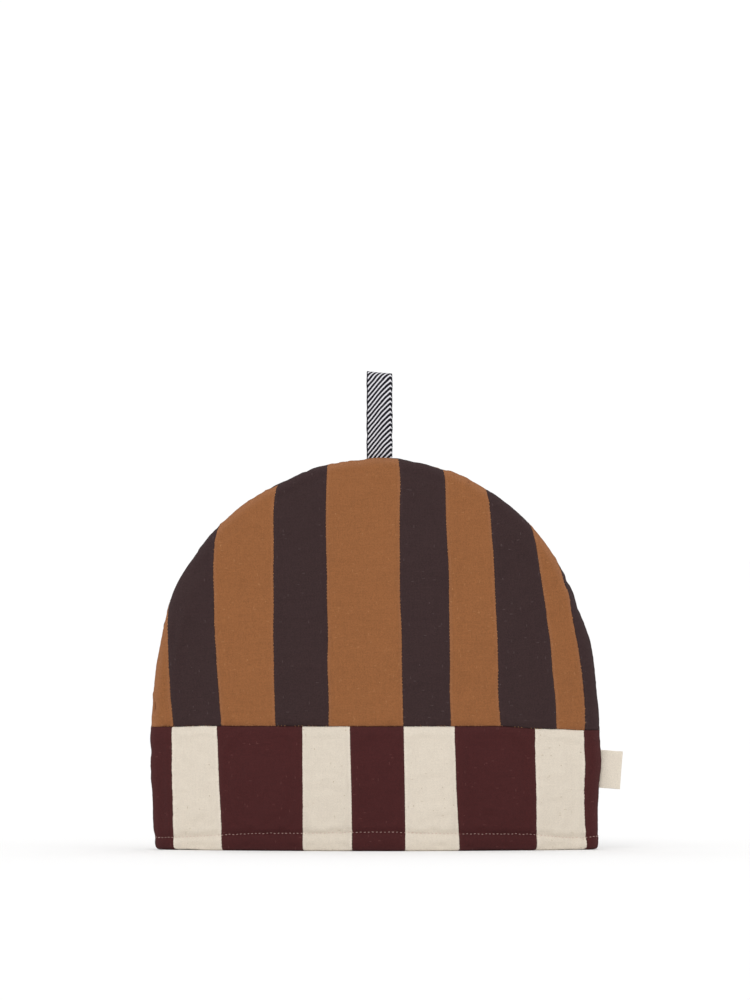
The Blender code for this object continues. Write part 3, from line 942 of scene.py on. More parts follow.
def crease_rows(cloth):
    """Points in rows beside the seams, the hem's topstitch and the foot, for their creases, each
    group with how far its points keep from those before them."""
    low, high = (WAIST_HEIGHT - 0.004, 0.302) if cloth.up > 0 else (0.0004, WAIST_HEIGHT + 0.001)
    beside = []
    for away, gap_along in ROWS_BESIDE_STRIP:
        z = np.arange(low, high, gap_along)
        for row in range(len(cloth.seams)):
            beside += [np.c_[seam_x(cloth, row, z) + side * away, z] for side in (-1, 1)]
    for pucker_x, pucker_z, wide, tall, _ in cloth.puckers:
        x, z = np.meshgrid(
            pucker_x + wide * np.linspace(-2, 2, 7), pucker_z + tall * np.linspace(-2, 2, 11)
        )
        beside.append(np.c_[x.ravel(), z.ravel()])
    span = cut_half(WAIST_HEIGHT) + 0.001
    level = []
    for away, gap_along in ROWS_BESIDE_WAIST:
        x = np.arange(-span, span, gap_along)
        level.append(np.c_[x, waist_edge(x, cloth) + cloth.up * away])
    if cloth.part == "band":
        for away in ROWS_BESIDE_HEM_STITCH:
            x = np.arange(-span, span, SEAM_STEP if abs(away) < 0.001 else ROW_GAP)
            level.append(np.c_[x, hem_stitch_line(x) + away])
        x = np.arange(-span, span, ROW_GAP)
        level += [np.c_[x, np.full_like(x, height)] for height in foot_heights()]
    return (level, LEVEL_CLEARANCE), (beside, BESIDE_CLEARANCE)


def cut_cloth(cloth, spacing, fine=True):
    """The flat cut of a crown or a band: points, outline, seam lines and which row each edge point
    is on. A fine cut has rows of points beside its seams for their creases."""
    runs, starts, ends = cut_outline(cloth, fine)
    points = [place for _, run in runs for place in run]
    rows = [row for row, run in runs for _ in run]
    index = {place: i for i, place in enumerate(points)}
    lines = []
    notches = np.random.default_rng(cloth.seed + 5)
    for row, ((x0, z0), (x1, z1)) in enumerate(zip(starts, ends)):
        heights = np.linspace(z0, z1, max(2, round((z1 - z0) / SEAM_STEP)))[1:-1]
        # Every stitch pulls a small notch into the lighter strip, mostly at its right edge.
        depth = NOTCH_AT_RIGHT if (row % 2 == 0) == (cloth.part == "crown") else -NOTCH_AT_LEFT
        notch = depth * notches.uniform(0.3, 1.0, len(heights)) * (np.arange(len(heights)) % 3 == 0)
        between = range(len(points), len(points) + len(heights))
        chain = [index[(x0, z0)], *between, index[(x1, z1)]]
        points += zip(seam_x(cloth, row, heights) - notch, heights)
        lines += zip(chain, chain[1:])
    points = np.array(points)

    def inside(places, margin=0.0005):
        seam = waist_edge(places[:, 0], cloth)
        places = places[on_cloth(places, cloth, seam, margin, 0.1 * margin)]
        return places[cut_place(places)[3] < ROLL_LENGTH - margin]

    groups = crease_rows(cloth) if fine else ()
    for group, distance in (*groups, ([grid(0.185, 0.001, 0.305, spacing)], spacing * 0.55)):
        found = spaced_out(points, inside(np.concatenate(group)), distance)
        points = np.concatenate([points, found])
    return points, list(range(len(rows))), lines, np.array(rows)


def strip_numbers(flat, cloth):
    """Which strip each point is on, counted from the left."""
    x, z = flat.T
    return sum((x > seam_x(cloth, row, z)).astype(int) for row in range(len(cloth.seams)))


def grain_places(flat, strips, cloth):
    """Places in each strip's own weave. The strips were cut apart and sewn again, so each one's
    grain starts somewhere else and leans with the strip."""
    random = np.random.default_rng(cloth.seed + (0 if cloth.part == "crown" else 100))
    count = 11
    lean = random.normal(0, math.radians(0.7), count)
    start = random.uniform(0, 1, (count, 2))
    if cloth.part == "crown":
        low, high = 0.10, 0.20
        ends = [seam_x(cloth, row, np.array([low, high])) for row in range(len(cloth.seams))]
        tilt = np.array([math.atan2(foot - top, high - low) for foot, top in ends])
        middle = np.concatenate([[tilt[0]], (tilt[:-1] + tilt[1:]) / 2, [tilt[-1]]])
        lean[: len(middle)] += middle
    x, z = flat.T
    cos, sin = np.cos(lean[strips]), np.sin(lean[strips])
    return np.c_[x * cos + z * sin, z * cos - x * sin] + start[strips]


def waist_step(x):
    """How much higher the waist seam's inner edge lies than its outer one, so that no light comes
    straight through the seam."""
    return WAIST_STEP * ease((WAIST_HALF_WIDTH - 0.004 - np.abs(x)) / 0.008)


def inner_row_places(x, height):
    """Where the edge row of the inner cloth meets each point of the outer one's."""
    half = half_width(height)
    roll = ROLL_LENGTH - EDGE_ROLL
    from_cut = half + roll - np.abs(x)
    run = 0.020 + roll
    near = SEWN_INWARD + from_cut * (0.020 - SEWN_INWARD) / run
    return np.sign(x) * (half - np.where(from_cut > run, from_cut - roll, near))


def inner_cut(edge, cloth):
    """Points of the inner cloth, finer where the walls part and at the turned hem."""
    points, lines, fine = edge, [], []

    def add_line(x, z):
        nonlocal points
        lines.extend((i, i + 1) for i in range(len(points), len(points) + len(x) - 1))
        points = np.concatenate([points, np.c_[x, z]])

    for inward in INNER_EDGE_ROWS:
        x, z, _ = edge_place(np.linspace(0, 2 + math.pi, 260), inward)
        fine.append(np.c_[x, z])
    if cloth.part == "band":
        x = np.arange(-0.158, 0.158, 0.003)
        add_line(x, HEM_TURNING + 0.0005 * np.sin(x * 190) * np.cos(x * 71))
        z = np.arange(0.0006, HEM_TURNING - 0.0012, 0.0018)
        for row in range(len(cloth.seams)):
            x = seam_x(cloth, row, z)
            if abs(x[0]) < 0.150:
                add_line(x, z)
        x = np.arange(-0.160, 0.160, 0.0028)
        fine += [np.c_[x, np.full_like(x, height)] for height in INNER_HEM_ROWS]
    for places, distance in (
        (np.concatenate(fine), 0.0005),
        (grid(0.175, 0.002, 0.30, 0.0048), 0.0022),
    ):
        seam = waist_edge(places[:, 0], cloth) + waist_step(places[:, 0])
        keep = on_cloth(places, cloth, seam, 0.0006, 0.0001)
        keep &= flat_place(places)[1] > SEWN_INWARD + 0.0008
        points = np.concatenate([points, spaced_out(points, places[keep], distance)])
    return points, lines


def padded_panel(name, cloth, sewing, materials, spacing):
    """One closed padded piece: the pieced canvas outside, plain cotton inside."""
    flat, outline, lines, rows = cut_cloth(cloth, spacing)
    faces = triangles(flat, outline, lines)
    outer, _, wear = cloth_points(flat, cloth, sewing)
    strips = strip_numbers(flat[faces].mean(axis=1), cloth)
    uv = grain_places(flat[faces.ravel()], np.repeat(strips, 3), cloth).reshape(-1, 3, 2)

    # The inner cloth shares the outer one's sewn edge, and has its own rows at waist and foot.
    edge = flat[outline]
    is_row = np.isin(rows, ("waist", "foot"))
    sewn_x, sewn_z, _ = edge_place(cut_place(edge)[0], SEWN_INWARD)
    row_x = inner_row_places(*edge.T)
    edge_z = np.where(is_row | (rows == "corner"), edge[:, 1], sewn_z)
    edge_z += (rows == "waist") * waist_step(row_x)
    inner_edge = np.c_[np.where(is_row, row_x, sewn_x), edge_z]
    inner_flat, inner_lines = inner_cut(inner_edge, cloth)
    inner_faces = triangles(inner_flat, outline, inner_lines)
    place, inward = flat_place(inner_flat)
    x, z, gather = edge_place(place, inward, cloth)
    depth = inner_depth(x, z, inward, gather, cloth)
    inner = np.c_[x, cloth.facing * depth + seam_lean(x, z, inward), z]

    own = np.ones(len(inner_flat), bool)
    own[outline] = is_row
    number = np.arange(len(inner_flat))
    number[own] = len(outer) + np.arange(own.sum())
    points = np.concatenate([outer, inner[own]])
    # Inside, the edge seam's allowance and the turned-under hem are canvas, and the rest is cotton.
    middles = inner_flat[inner_faces].mean(axis=1)
    canvas = flat_place(middles)[1] < SEAM_ALLOWANCE
    if cloth.part == "band":
        canvas |= middles[:, 1] < HEM_TURNING - 0.0003
    lining = np.where(canvas, strip_numbers(middles, cloth) % 2, 2)
    # The padding is closed between the two cloths at the waist and the foot.
    after = np.roll(outline, -1)
    edge_strips = strip_numbers((edge + edge[after]) / 2, cloth) % 2
    closing = np.array([
        (*face, edge_strips[a])
        for a, b in enumerate(after)
        if is_row[a] or is_row[b]
        for face in ((b, a, number[a]), (b, number[a], number[b]))
        if len(set(face)) == 3
    ])
    closing, closing_strips = closing[:, :3], closing[:, 3]

    turn = slice(None, None, -cloth.facing)
    all_faces = np.concatenate([faces, number[inner_faces][:, ::-1], closing])[:, turn]
    inner_uv = inner_flat[inner_faces[:, ::-1]]
    all_uv = np.concatenate([uv, inner_uv, points[closing][..., :2]])[:, turn]
    slots = np.concatenate([strips % 2, lining, closing_strips])
    values = {
        "wear": ("POINT", np.concatenate([wear, np.zeros(own.sum())])),
        "strip": ("FACE", np.concatenate([strips + 1, 0 * lining, closing_strips + 1])),
    }
    points = points + np.array([BODY_X, 0, 0])
    return cloth_object(name, points, all_faces.tolist(), all_uv, slots, materials, values)


def cloth_object(name, points, faces, uv, slots, materials, values=None):
    mesh = new_mesh(name, points.tolist(), faces)
    mesh.polygons.foreach_set("material_index", np.asarray(slots, np.int32))
    layer = mesh.uv_layers.new(name="cloth")
    layer.uv.foreach_set("vector", np.asarray(uv, np.float32).ravel())
    for word, (domain, given) in (values or {}).items():
        attribute = mesh.attributes.new(word, "FLOAT", domain)
        attribute.data.foreach_set("value", np.asarray(given, np.float32))
    mesh.shade_smooth()
    for material in materials:
        mesh.materials.append(material)
    mesh.update()
    return new_object(name, mesh)


# ---------------------------------------------------------------------------- materials


def socket_of(sockets, key):
    """A socket by its number, name or identifier."""
    if isinstance(key, int):
        return sockets[key]
    return next(socket for socket in sockets if key in (socket.identifier, socket.name))


class Value:
    """An output of a node. Each sign that it is reckoned with adds one Math node."""

    def __init__(self, tree, node, out=0):
        self.tree, self.node, self.out = tree, node, out

    def __getitem__(self, out):
        return Value(self.tree, self.node, out)

    def __add__(self, other):
        return calc("ADD", self, other)

    def __mul__(self, other):
        return calc("MULTIPLY", self, other)

    __radd__, __rmul__ = __add__, __mul__

    def __sub__(self, other):
        return calc("SUBTRACT", self, other)

    def __rsub__(self, other):
        return calc("SUBTRACT", other, self)

    def __truediv__(self, other):
        return calc("DIVIDE", self, other)

    def __pow__(self, other):
        return calc("POWER", self, other)


def fill(node, inputs):
    """Joins values to a node's inputs, or fills them in."""
    for key, value in inputs.items():
        socket = socket_of(node.inputs, key)
        if isinstance(value, Value):
            value.tree.links.new(socket_of(value.node.outputs, value.out), socket)
        else:
            socket.default_value = value


def add(kind, inputs=None, tree=None, **options):
    """One node with its options set and its inputs filled, in their tree if none is given."""
    inputs = inputs or {}
    if tree is None:
        tree = next(value.tree for value in inputs.values() if isinstance(value, Value))
    node = tree.nodes.new(kind)
    for option, value in options.items():
        setattr(node, option, value)
    fill(node, inputs)
    return Value(tree, node)


def calc(operation, *values):
    return add("ShaderNodeMath", dict(enumerate(values)), operation=operation)


def hump(value):
    """From 0 up to 1 and down again, once in every whole number."""
    return calc("ABSOLUTE", calc("SINE", value * math.pi))


def ramp(value, low, high, **options):
    return add("ShaderNodeMapRange", {"Value": value, "From Min": low, "From Max": high}, **options)


def pair(x, y, z=0.0):
    return add("ShaderNodeCombineXYZ", {"X": x, "Y": y, "Z": z})


def parted(place):
    return add("ShaderNodeSeparateXYZ", {0: place})


def blend_colour(share, first, second):
    inputs = {"Factor_Float": share, "A_Color": first, "B_Color": second}
    return add("ShaderNodeMix", inputs, data_type="RGBA")["Result_Color"]


def brighter(colour, factor, saturation=1.0):
    inputs = {"Color": colour, "Value": factor, "Saturation": saturation}
    return add("ShaderNodeHueSaturation", inputs)


def noise(place, scale, detail=2.0):
    """Soft noise on the cloth, from -0.5 to 0.5."""
    inputs = {"Vector": place, "Scale": scale, "Detail": detail}
    return add("ShaderNodeTexNoise", inputs, noise_dimensions="2D") - 0.5


def chance(x, y=None):
    """A random share from 0 to 1, the same for the same numbers."""
    if y is None:
        return add("ShaderNodeTexWhiteNoise", {"W": x}, noise_dimensions="1D")
    return add("ShaderNodeTexWhiteNoise", {"Vector": pair(x, y)}, noise_dimensions="2D")


def bump(height, strength, distance):
    inputs = {"Height": height, "Strength": strength, "Distance": distance}
    return add("ShaderNodeBump", inputs)


def finished_material(name, roughness, sheen=0.0, tint=(1, 1, 1)):
    material = bpy.data.materials.new(name)
    material.use_nodes = True
    shader = material.node_tree.nodes["Principled BSDF"]
    fill(shader, {
        "Roughness": roughness,
        "Sheen Weight": sheen,
        "Sheen Roughness": 0.45,
        "Sheen Tint": (*tint, 1),
        "Specular IOR Level": 0.15,
    })
    return material, material.node_tree, shader


def node_group(name, kind, inputs, outputs):
    """An empty node group, with inputs of (name, kind, default) and outputs of (name, kind)."""
    tree = bpy.data.node_groups.new(name, kind)
    for word, socket_kind, default in inputs:
        socket = tree.interface.new_socket(
            word, in_out="INPUT", socket_type=f"NodeSocket{socket_kind}"
        )
        if default is not None:
            socket.default_value = default
    for word, socket_kind in outputs:
        tree.interface.new_socket(word, in_out="OUTPUT", socket_type=f"NodeSocket{socket_kind}")
    return tree, add("NodeGroupInput", tree=tree)


def shared(kept, name, build, *values):
    """The material or node group of this name, built the first time it is asked for."""
    return kept.get(name) or build(name, *values)


def weave_group(name):
    """Plain-woven cloth: threads over and under each other, thick and thin along their length."""
    tree, given = node_group(
        name,
        "ShaderNodeTree",
        (
            ("Colour", "Color", (0.5, 0.5, 0.5, 1)),
            ("Fleck Colour", "Color", (0.5, 0.5, 0.5, 1)),
            ("Thread Pitch", "Float", 0.0006),
            ("Unevenness", "Float", 1.0),
            ("Slubs", "Float", 0.005),
            ("Seeds", "Float", 0.1),
            ("Strip Difference", "Float", 0.03),
        ),
        (("Colour", "Color"), ("Roughness", "Float"), ("Normal", "Vector")),
    )
    cloth = add("ShaderNodeUVMap", tree=tree, uv_map="cloth")
    spot = parted(cloth)
    x, y, pitch = spot["X"], spot["Y"], given["Thread Pitch"]
    across = (x + noise(cloth, 70.0) * 0.0005) / pitch
    up = (y + noise(cloth, 90.0) * 0.0005) / pitch
    warp, weft = calc("FLOOR", across), calc("FLOOR", up)
    over = calc("PINGPONG", warp + weft, 1.0)

    def by_turns(first, second):
        return first + (second - first) * over

    # Each thread is thicker and thinner along its length.
    warp_slub = noise(pair(warp * 7.31, y * 75.0), 1.0, 1.0)
    weft_slub = noise(pair(x * 75.0, weft * 5.77), 1.0, 1.0)
    slub = by_turns(warp_slub, weft_slub)
    round_warp, round_weft = hump(across), hump(up)
    height = by_turns(round_warp * round_weft**0.35, round_weft * round_warp**0.35)
    tone = slub * 0.30 + (chance(warp, weft) - 0.5) * 0.20
    tone = tone + noise(cloth, 22.0, 3.0) * 0.06 + noise(cloth, 900.0) * 0.36
    strip = add("ShaderNodeAttribute", tree=tree, attribute_name="strip")["Fac"]
    strip_tone = (chance(strip) - 0.5) * given["Strip Difference"]
    # The colour is also scaled by the weave's relief: painted shade, darker in the hollows between
    # the threads and lighter on their crowns.
    factor = (tone * given["Unevenness"] + 1.0 + strip_tone) * (height * 0.42 + 0.74)
    colour = brighter(given["Colour"], factor)
    # Slubs are short paler bits of one thread, and seeds are specks of husk.
    slubs = 0.0
    for thread, run, on_top in ((warp, y, 1.0 - over), (weft, x, over)):
        run = run / 0.0026 + chance(thread) * 9.0
        strong = calc("MAXIMUM", 1.0 - chance(thread, calc("FLOOR", run)) / given["Slubs"], 0.0)
        taper = calc("SINE", calc("FRACT", run) * math.pi)
        slubs = slubs + strong**0.4 * taper * (on_top * 0.6 + 0.4)
    inputs = {"Vector": cloth, "Scale": 130.0}
    cell = add("ShaderNodeTexVoronoi", inputs, voronoi_dimensions="2D")
    picked = add("ShaderNodeSeparateColor", {0: cell["Color"]})
    chosen = calc("LESS_THAN", picked[0], given["Seeds"])
    speck = calc("LESS_THAN", cell["Distance"], picked[1] * 0.030 + 0.022)
    fleck = calc("MAXIMUM", slubs * 0.75, chosen * speck)
    colour = blend_colour(fleck * 0.8, colour, given["Fleck Colour"])
    wear = add("ShaderNodeAttribute", tree=tree, attribute_name="wear")["Fac"]
    colour = blend_colour(wear * (height * 0.35 + 0.12), colour, brighter(colour, 1.45, 0.86))
    relief = height + noise(cloth, 1500.0) * 0.30 + slub * 0.8 + fleck * 0.6
    normal = bump(relief, 0.55, 0.00013)
    add("NodeGroupOutput", {"Colour": colour, "Roughness": 0.90 + slub * 0.10, "Normal": normal})
    return tree


def canvas_material(name, colour, fleck, slubs, seeds, pitch, unevenness, strip_difference=0.03):
    tint = tuple(0.35 + 0.65 * c for c in colour)
    material, tree, shader = finished_material(name, 0.9, 0.04, tint)
    weave = shared(bpy.data.node_groups, "plain_weave", weave_group)
    inputs = {
        "Colour": (*colour, 1),
        "Fleck Colour": (*fleck, 1),
        "Thread Pitch": pitch,
        "Unevenness": unevenness,
        "Slubs": slubs,
        "Seeds": seeds,
        "Strip Difference": strip_difference,
    }
    cloth = add("ShaderNodeGroup", tree=tree, node_tree=weave)
    fill(cloth.node, inputs)
    outputs = {"Base Color": "Colour", "Roughness": "Roughness", "Normal": "Normal"}
    fill(shader, {key: cloth[out] for key, out in outputs.items()})
    return material


def twill_material(name, settings):
    """Black and white twill: stepped diagonals that turn back at one edge of the tape."""
    material, tree, shader = finished_material(name, 0.8, 0.04)
    spot = parted(add("ShaderNodeUVMap", tree=tree, uv_map="cloth"))
    across, path = spot["X"], spot["Y"]
    pitch = settings.thread_pitch
    along = path + noise(pair(across, path), 160.0) * 0.0007
    warp = calc("FLOOR", across / pitch)
    stepped = (warp + 0.5) * pitch * 0.75 + across * 0.25
    # The turned edge is widest near the fold and almost gone at the seam.
    fold = loop_path_length() / 2
    near_fold = 1.0 - calc("ABSOLUTE", path - fold) / fold
    edge = calc("MINIMUM", near_fold * 1.5 + 0.35, 1.0) * settings.edge
    folded = stepped - calc("MAXIMUM", stepped - (TAPE_WIDTH - edge), 0.0) * 2.0
    # The diagonals lie flatter towards the right edge.
    flatter = calc("MAXIMUM", folded - 0.5 * TAPE_WIDTH, 0.0)
    flatter = flatter * flatter * (settings.flattening / TAPE_WIDTH)
    phase = along / settings.twill_rise - (folded - flatter) / settings.twill_run
    wave = calc("SINE", phase * (2 * math.pi))
    light = ramp(wave, 0.20, 0.60, interpolation_type="SMOOTHSTEP")
    # A dark thread binds each edge. On the right the twill breaks it up.
    left_edge = ramp(across, 0.0005, 0.0011)
    right_edge = ramp((TAPE_WIDTH - across) / edge, 0.38, 0.60)
    light = light * left_edge * calc("MAXIMUM", right_edge, ramp(wave, 0.82, 1.0))
    weft = along / pitch
    bead, side = hump(weft), hump(across / pitch)
    # Besides a random tone at each crossing, each warp thread is lighter on its crown and darker at
    # its sides: painted shade between the threads.
    tone = (chance(warp, calc("FLOOR", weft)) - 0.5) * 0.16 + (side * 0.22 + 0.86)
    colour = blend_colour(light, (*settings.black, 1), (*settings.white, 1))
    normal = bump(light * 0.9 + (side * 0.7 + bead * 0.35), 0.6, 0.00016)
    fill(shader, {"Base Color": brighter(colour, tone), "Normal": normal})
    return material


def label_material(name, settings):
    """Fine ribbed tape, bare."""
    fleck = tuple(c * 0.9 for c in settings.cloth)
    pitch = settings.thread_pitch
    return canvas_material(name, settings.cloth, fleck, 0.001, 0.0, pitch, 0.45, 0.0)


def object_noise(tree, scale, detail):
    place = add("ShaderNodeTexCoord", tree=tree)["Object"]
    return add("ShaderNodeTexNoise", {"Vector": place, "Scale": scale, "Detail": detail})


def thread_material(name, colour):
    """Matt twisted cotton thread."""
    material, tree, shader = finished_material(name, 0.75, 0.05)
    tone = object_noise(tree, 1300.0, 2.0)
    colour = brighter((*colour, 1), tone * 0.35 + 0.82)
    fill(shader, {"Base Color": colour, "Normal": bump(tone, 0.5, 0.0001)})
    return material


def shared_material(name, build, *values):
    return shared(bpy.data.materials, name, build, *values)


def canvas_materials(part):
    """A part's two canvases, by turns along its strips, and the cotton inside it."""
    canvas = bpy.context.scene.cosy_canvas
    rows = {
        "crown": (
            ("ochre_canvas", canvas.ochre, (176, 126, 84), 0.006, 0.05, 0.9),
            ("plum_canvas", canvas.plum, (94, 80, 80), 0.0042, 0.02, 1.05),
        ),
        "band": (
            ("burgundy_canvas", canvas.burgundy, (112, 70, 68), 0.005, 0.02, 0.9),
            ("cream_canvas", canvas.cream, (156, 138, 108), 0.002, 0.26, 0.34),
        ),
    }
    made = []
    for name, colour, fleck, slubs, seeds, share in rows[part]:
        look = screen_colour(*fleck), slubs, seeds, canvas.thread_pitch, canvas.unevenness * share
        made.append(shared_material(name, canvas_material, colour, *look))
    look = screen_colour(176, 160, 134), 0.003, 0.05, canvas.lining_pitch, 0.4, 0.0
    return made + [shared_material("lining_cotton", canvas_material, canvas.lining, *look)]


# ---------------------------------------------------------------------------- tapes


def loop_path(reach, root, half_opening, thickness, leg_steps, fold_steps):
    """(y, z) of the middle of a tape: up from its caught end, round the fold, and down again."""
    half_root = HALF_GAP + thickness / 2
    radius = half_opening + thickness / 2
    top = reach - radius - thickness / 2
    z = -root + (top + root) * np.arange(leg_steps) / leg_steps
    opened = ease(z / (top * TAPE_OPENING_SHARE))
    leg = np.c_[half_root + (radius - half_root) * opened, z]
    turn = math.pi * np.arange(fold_steps + 1) / fold_steps
    fold = np.c_[-radius * np.cos(turn), top + radius * np.sin(turn)]
    return np.concatenate([leg * [-1, 1], fold, leg[::-1]])


def loop_path_length():
    path = loop_path(LOOP_REACH, LOOP_ROOT, LOOP_HALF_OPENING, TAPE_THICKNESS, 60, 24)
    return float(arc_length(path)[-1])


def folded_tape(width, thickness, path, slant, seed, unevenness, columns=14):
    """A tape on a folded path in the YZ plane, with rounded edges and its width along X: points,
    faces, their places on the flat tape, and its length."""
    step = headings(path)
    left = np.c_[-step[:, 1], step[:, 0]]
    along = arc_length(path)
    half = thickness / 2
    # Round the tape's section: across it, and off its middle surface
    flat_part = (width / 2 - half) * np.linspace(-1, 1, columns + 1)
    turns = np.linspace(0, math.pi, 6)[1:-1]
    bend = width / 2 - half + half * np.sin(turns)
    x = np.concatenate([flat_part, bend, flat_part[::-1], -bend])
    face = np.full(columns + 1, half)
    off = np.concatenate([face, half * np.cos(turns), -face, -half * np.cos(turns)])
    free = ease(path[:, 1] / 0.006)
    wave = (free * waves(along, seed, 0.031, unevenness))[:, None]
    edge_wave = (free * waves(along, seed + 1, 0.017, 0.5 * unevenness))[:, None]
    cup = (free * unevenness * 0.8)[:, None] * ((2 * x / width) ** 2 - 0.4)
    distance = off + cup * 0.5 + wave * x / width * 0.6
    height = path[:, 1:]
    lower = slant * (x / width + 0.5) * np.maximum(0, height / height.max())
    points = np.stack([
        x + edge_wave * (2 * x / width) ** 3,
        path[:, :1] + left[:, :1] * distance,
        height + left[:, 1:] * distance - lower,
    ])
    count, rows = len(x), len(path)
    faces = []
    for i in range(rows - 1):
        for j in range(count):
            a, b = i * count + j, i * count + (j + 1) % count
            faces.append((a, b, b + count, a + count))
    last = (rows - 1) * count
    faces += [tuple(range(count))[::-1], tuple(range(last, last + count))]
    uv = [(x[v % count] + width / 2, along[v // count]) for face in faces for v in face]
    return points.reshape(3, -1), faces, uv, float(along[-1])


def tape_object(name, made, placing, material):
    points, faces, uv, _ = made
    points = np.stack(placing(*points), axis=1)
    return cloth_object(name, points, faces, uv, [0] * len(faces), [material])


# ---------------------------------------------------------------------------- stitches


def stitch_tree(name):
    """Stitches along a line: one every pitch, some left out, each a little uneven."""
    tree, given = node_group(
        name,
        "GeometryNodeTree",
        (
            ("Geometry", "Geometry", None),
            ("Pitch", "Float", 0.003),
            ("Stitch Length", "Float", 0.002),
            ("Thickness", "Float", 0.0004),
            ("Share Shown", "Float", 1.0),
            ("Unevenness", "Float", 0.1),
            ("Seed", "Int", 1),
            ("Thread", "Material", None),
        ),
        (("Geometry", "Geometry"),),
    )
    thickness, length, uneven = given["Thickness"], given["Stitch Length"], given["Unevenness"]

    def random(low, extra):
        inputs = {"Min_001": low, "Max_001": 1.0, "Seed": given["Seed"] + extra}
        return add("FunctionNodeRandomValue", inputs, data_type="FLOAT")["Value_001"]

    line = add("GeometryNodeMeshToCurve", {"Mesh": given["Geometry"]})
    inputs = {"Curve": line, "Length": given["Pitch"]}
    line = add("GeometryNodeResampleCurve", inputs, mode="LENGTH")
    tangent = add("GeometryNodeInputTangent", tree=tree)
    normal = add(
        "GeometryNodeInputNamedAttribute", {"Name": "cloth_normal"}, tree, data_type="FLOAT_VECTOR"
    )
    # Each stitch lies along the line and upright on the cloth, a little slanted.
    align = "FunctionNodeAlignRotationToVector"
    turned = add(align, {"Vector": tangent}, axis="X")
    turned = add(align, {"Rotation": turned, "Vector": normal}, axis="Z", pivot_axis="X")
    inputs = {"Axis": (0, 0, 1), "Angle": random(-1.0, 11.0) * uneven}
    slanted = add("FunctionNodeAxisAngleToRotation", inputs)
    inputs = {"Rotation": turned, "Rotate By": slanted}
    turned = add("FunctionNodeRotateRotation", inputs, rotation_space="LOCAL")
    size = pair(1.0 - random(0.0, 23.0) * uneven, 1.0, 1.0)
    shown = calc("LESS_THAN", random(0.0, 37.0), given["Share Shown"])
    # One stitch: a bead of thread whose ends go down into the cloth
    bead = add("GeometryNodeMeshUVSphere", {"Segments": 8, "Rings": 8, "Radius": 0.5}, tree)
    stretch = pair(thickness, thickness, length)
    inputs = {"Geometry": bead, "Scale": stretch, "Rotation": (0, math.pi / 2, 0)}
    bead = add("GeometryNodeTransform", inputs)
    out = parted(add("GeometryNodeInputPosition", tree=tree))["X"] / (length * 0.5)
    down = calc("ABSOLUTE", out) ** 2.6 * thickness * -0.9
    bead = add("GeometryNodeSetPosition", {"Geometry": bead, "Offset": pair(0.0, 0.0, down)})
    inputs = {"Points": line, "Instance": bead, "Rotation": turned, "Scale": size}
    placed = add("GeometryNodeInstanceOnPoints", {**inputs, "Selection": shown})
    real = add("GeometryNodeRealizeInstances", {"Geometry": placed})
    smooth = add("GeometryNodeSetShadeSmooth", {"Geometry": real})
    done = add("GeometryNodeSetMaterial", {"Geometry": smooth, "Material": given["Thread"]})
    add("NodeGroupOutput", {"Geometry": done})
    return tree


def stitched(name, chains, thread, values):
    """The stitches along the chains of (points, normals), as one plain mesh."""
    edges, start = [], 0
    for points, _ in chains:
        edges += [(i, i + 1) for i in range(start, start + len(points) - 1)]
        start += len(points)
    points, normals = (np.concatenate(one) for one in zip(*chains))
    mesh = new_mesh(f"{name}_line", points.tolist(), edges=edges)
    attribute = mesh.attributes.new("cloth_normal", "FLOAT_VECTOR", "POINT")
    attribute.data.foreach_set("vector", np.asarray(normals, np.float32).ravel())
    guide = new_object(f"{name}_line", mesh)
    tree = shared(bpy.data.node_groups, "stitches_along_line", stitch_tree)
    modifier = guide.modifiers.new("stitches", "NODES")
    modifier.node_group = tree
    settings = bpy.context.scene.cosy_stitches
    colour = getattr(settings, "crown_thread" if thread == "crown_thread" else "thread")
    values = {
        **values,
        "Thickness": settings.thickness,
        "Thread": shared_material(thread, thread_material, colour),
    }
    for item in tree.interface.items_tree:
        if item.in_out == "INPUT" and item.name in values:
            modifier[item.identifier] = values[item.name]
    evaluated = guide.evaluated_get(bpy.context.evaluated_depsgraph_get())
    made = bpy.data.meshes.new_from_object(evaluated)
    made.name = name
    guide.modifiers.remove(modifier)
    bpy.data.objects.remove(guide)
    bpy.data.meshes.remove(mesh)
    if not len(made.polygons):
        raise RuntimeError(f"{name} has no stitches")
    finish_piece(new_object(name, made))


def sewn_chain(x, z, cloth, lift):
    """Places and normals a little above the cloth along a line of the flat cut."""
    sewing = bpy.context.scene.cosy_sewing
    points, normals, _ = cloth_points(np.c_[x, z], cloth, sewing)
    return points + normals * lift + np.array([BODY_X, 0, 0]), normals


# ---------------------------------------------------------------------------- operators


def finish_piece(piece, nodes=()):
    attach(piece, "root")
    if nodes:
        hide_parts(*nodes)


def sew_panel(side):
    sewing = bpy.context.scene.cosy_sewing
    spacing = CUT_SPACING
    for part in PARTS:
        name = f"{side}_{part}_canvas"
        piece = padded_panel(name, CLOTHS[side, part], sewing, canvas_materials(part), spacing)
        finish_piece(piece, (f"{side}_{part}",))
    return {"FINISHED"}


class COSY_OT_front_panel(bpy.types.Operator):
    """Sew the front panel, its crown and its band"""

    bl_idname = "cosy.front_panel"
    bl_label = "Front Panel"

    def execute(self, context):
        return sew_panel("front")


class COSY_OT_back_panel(bpy.types.Operator):
    """Sew the back panel, its crown and its band"""

    bl_idname = "cosy.back_panel"
    bl_label = "Back Panel"

    def execute(self, context):
        return sew_panel("back")


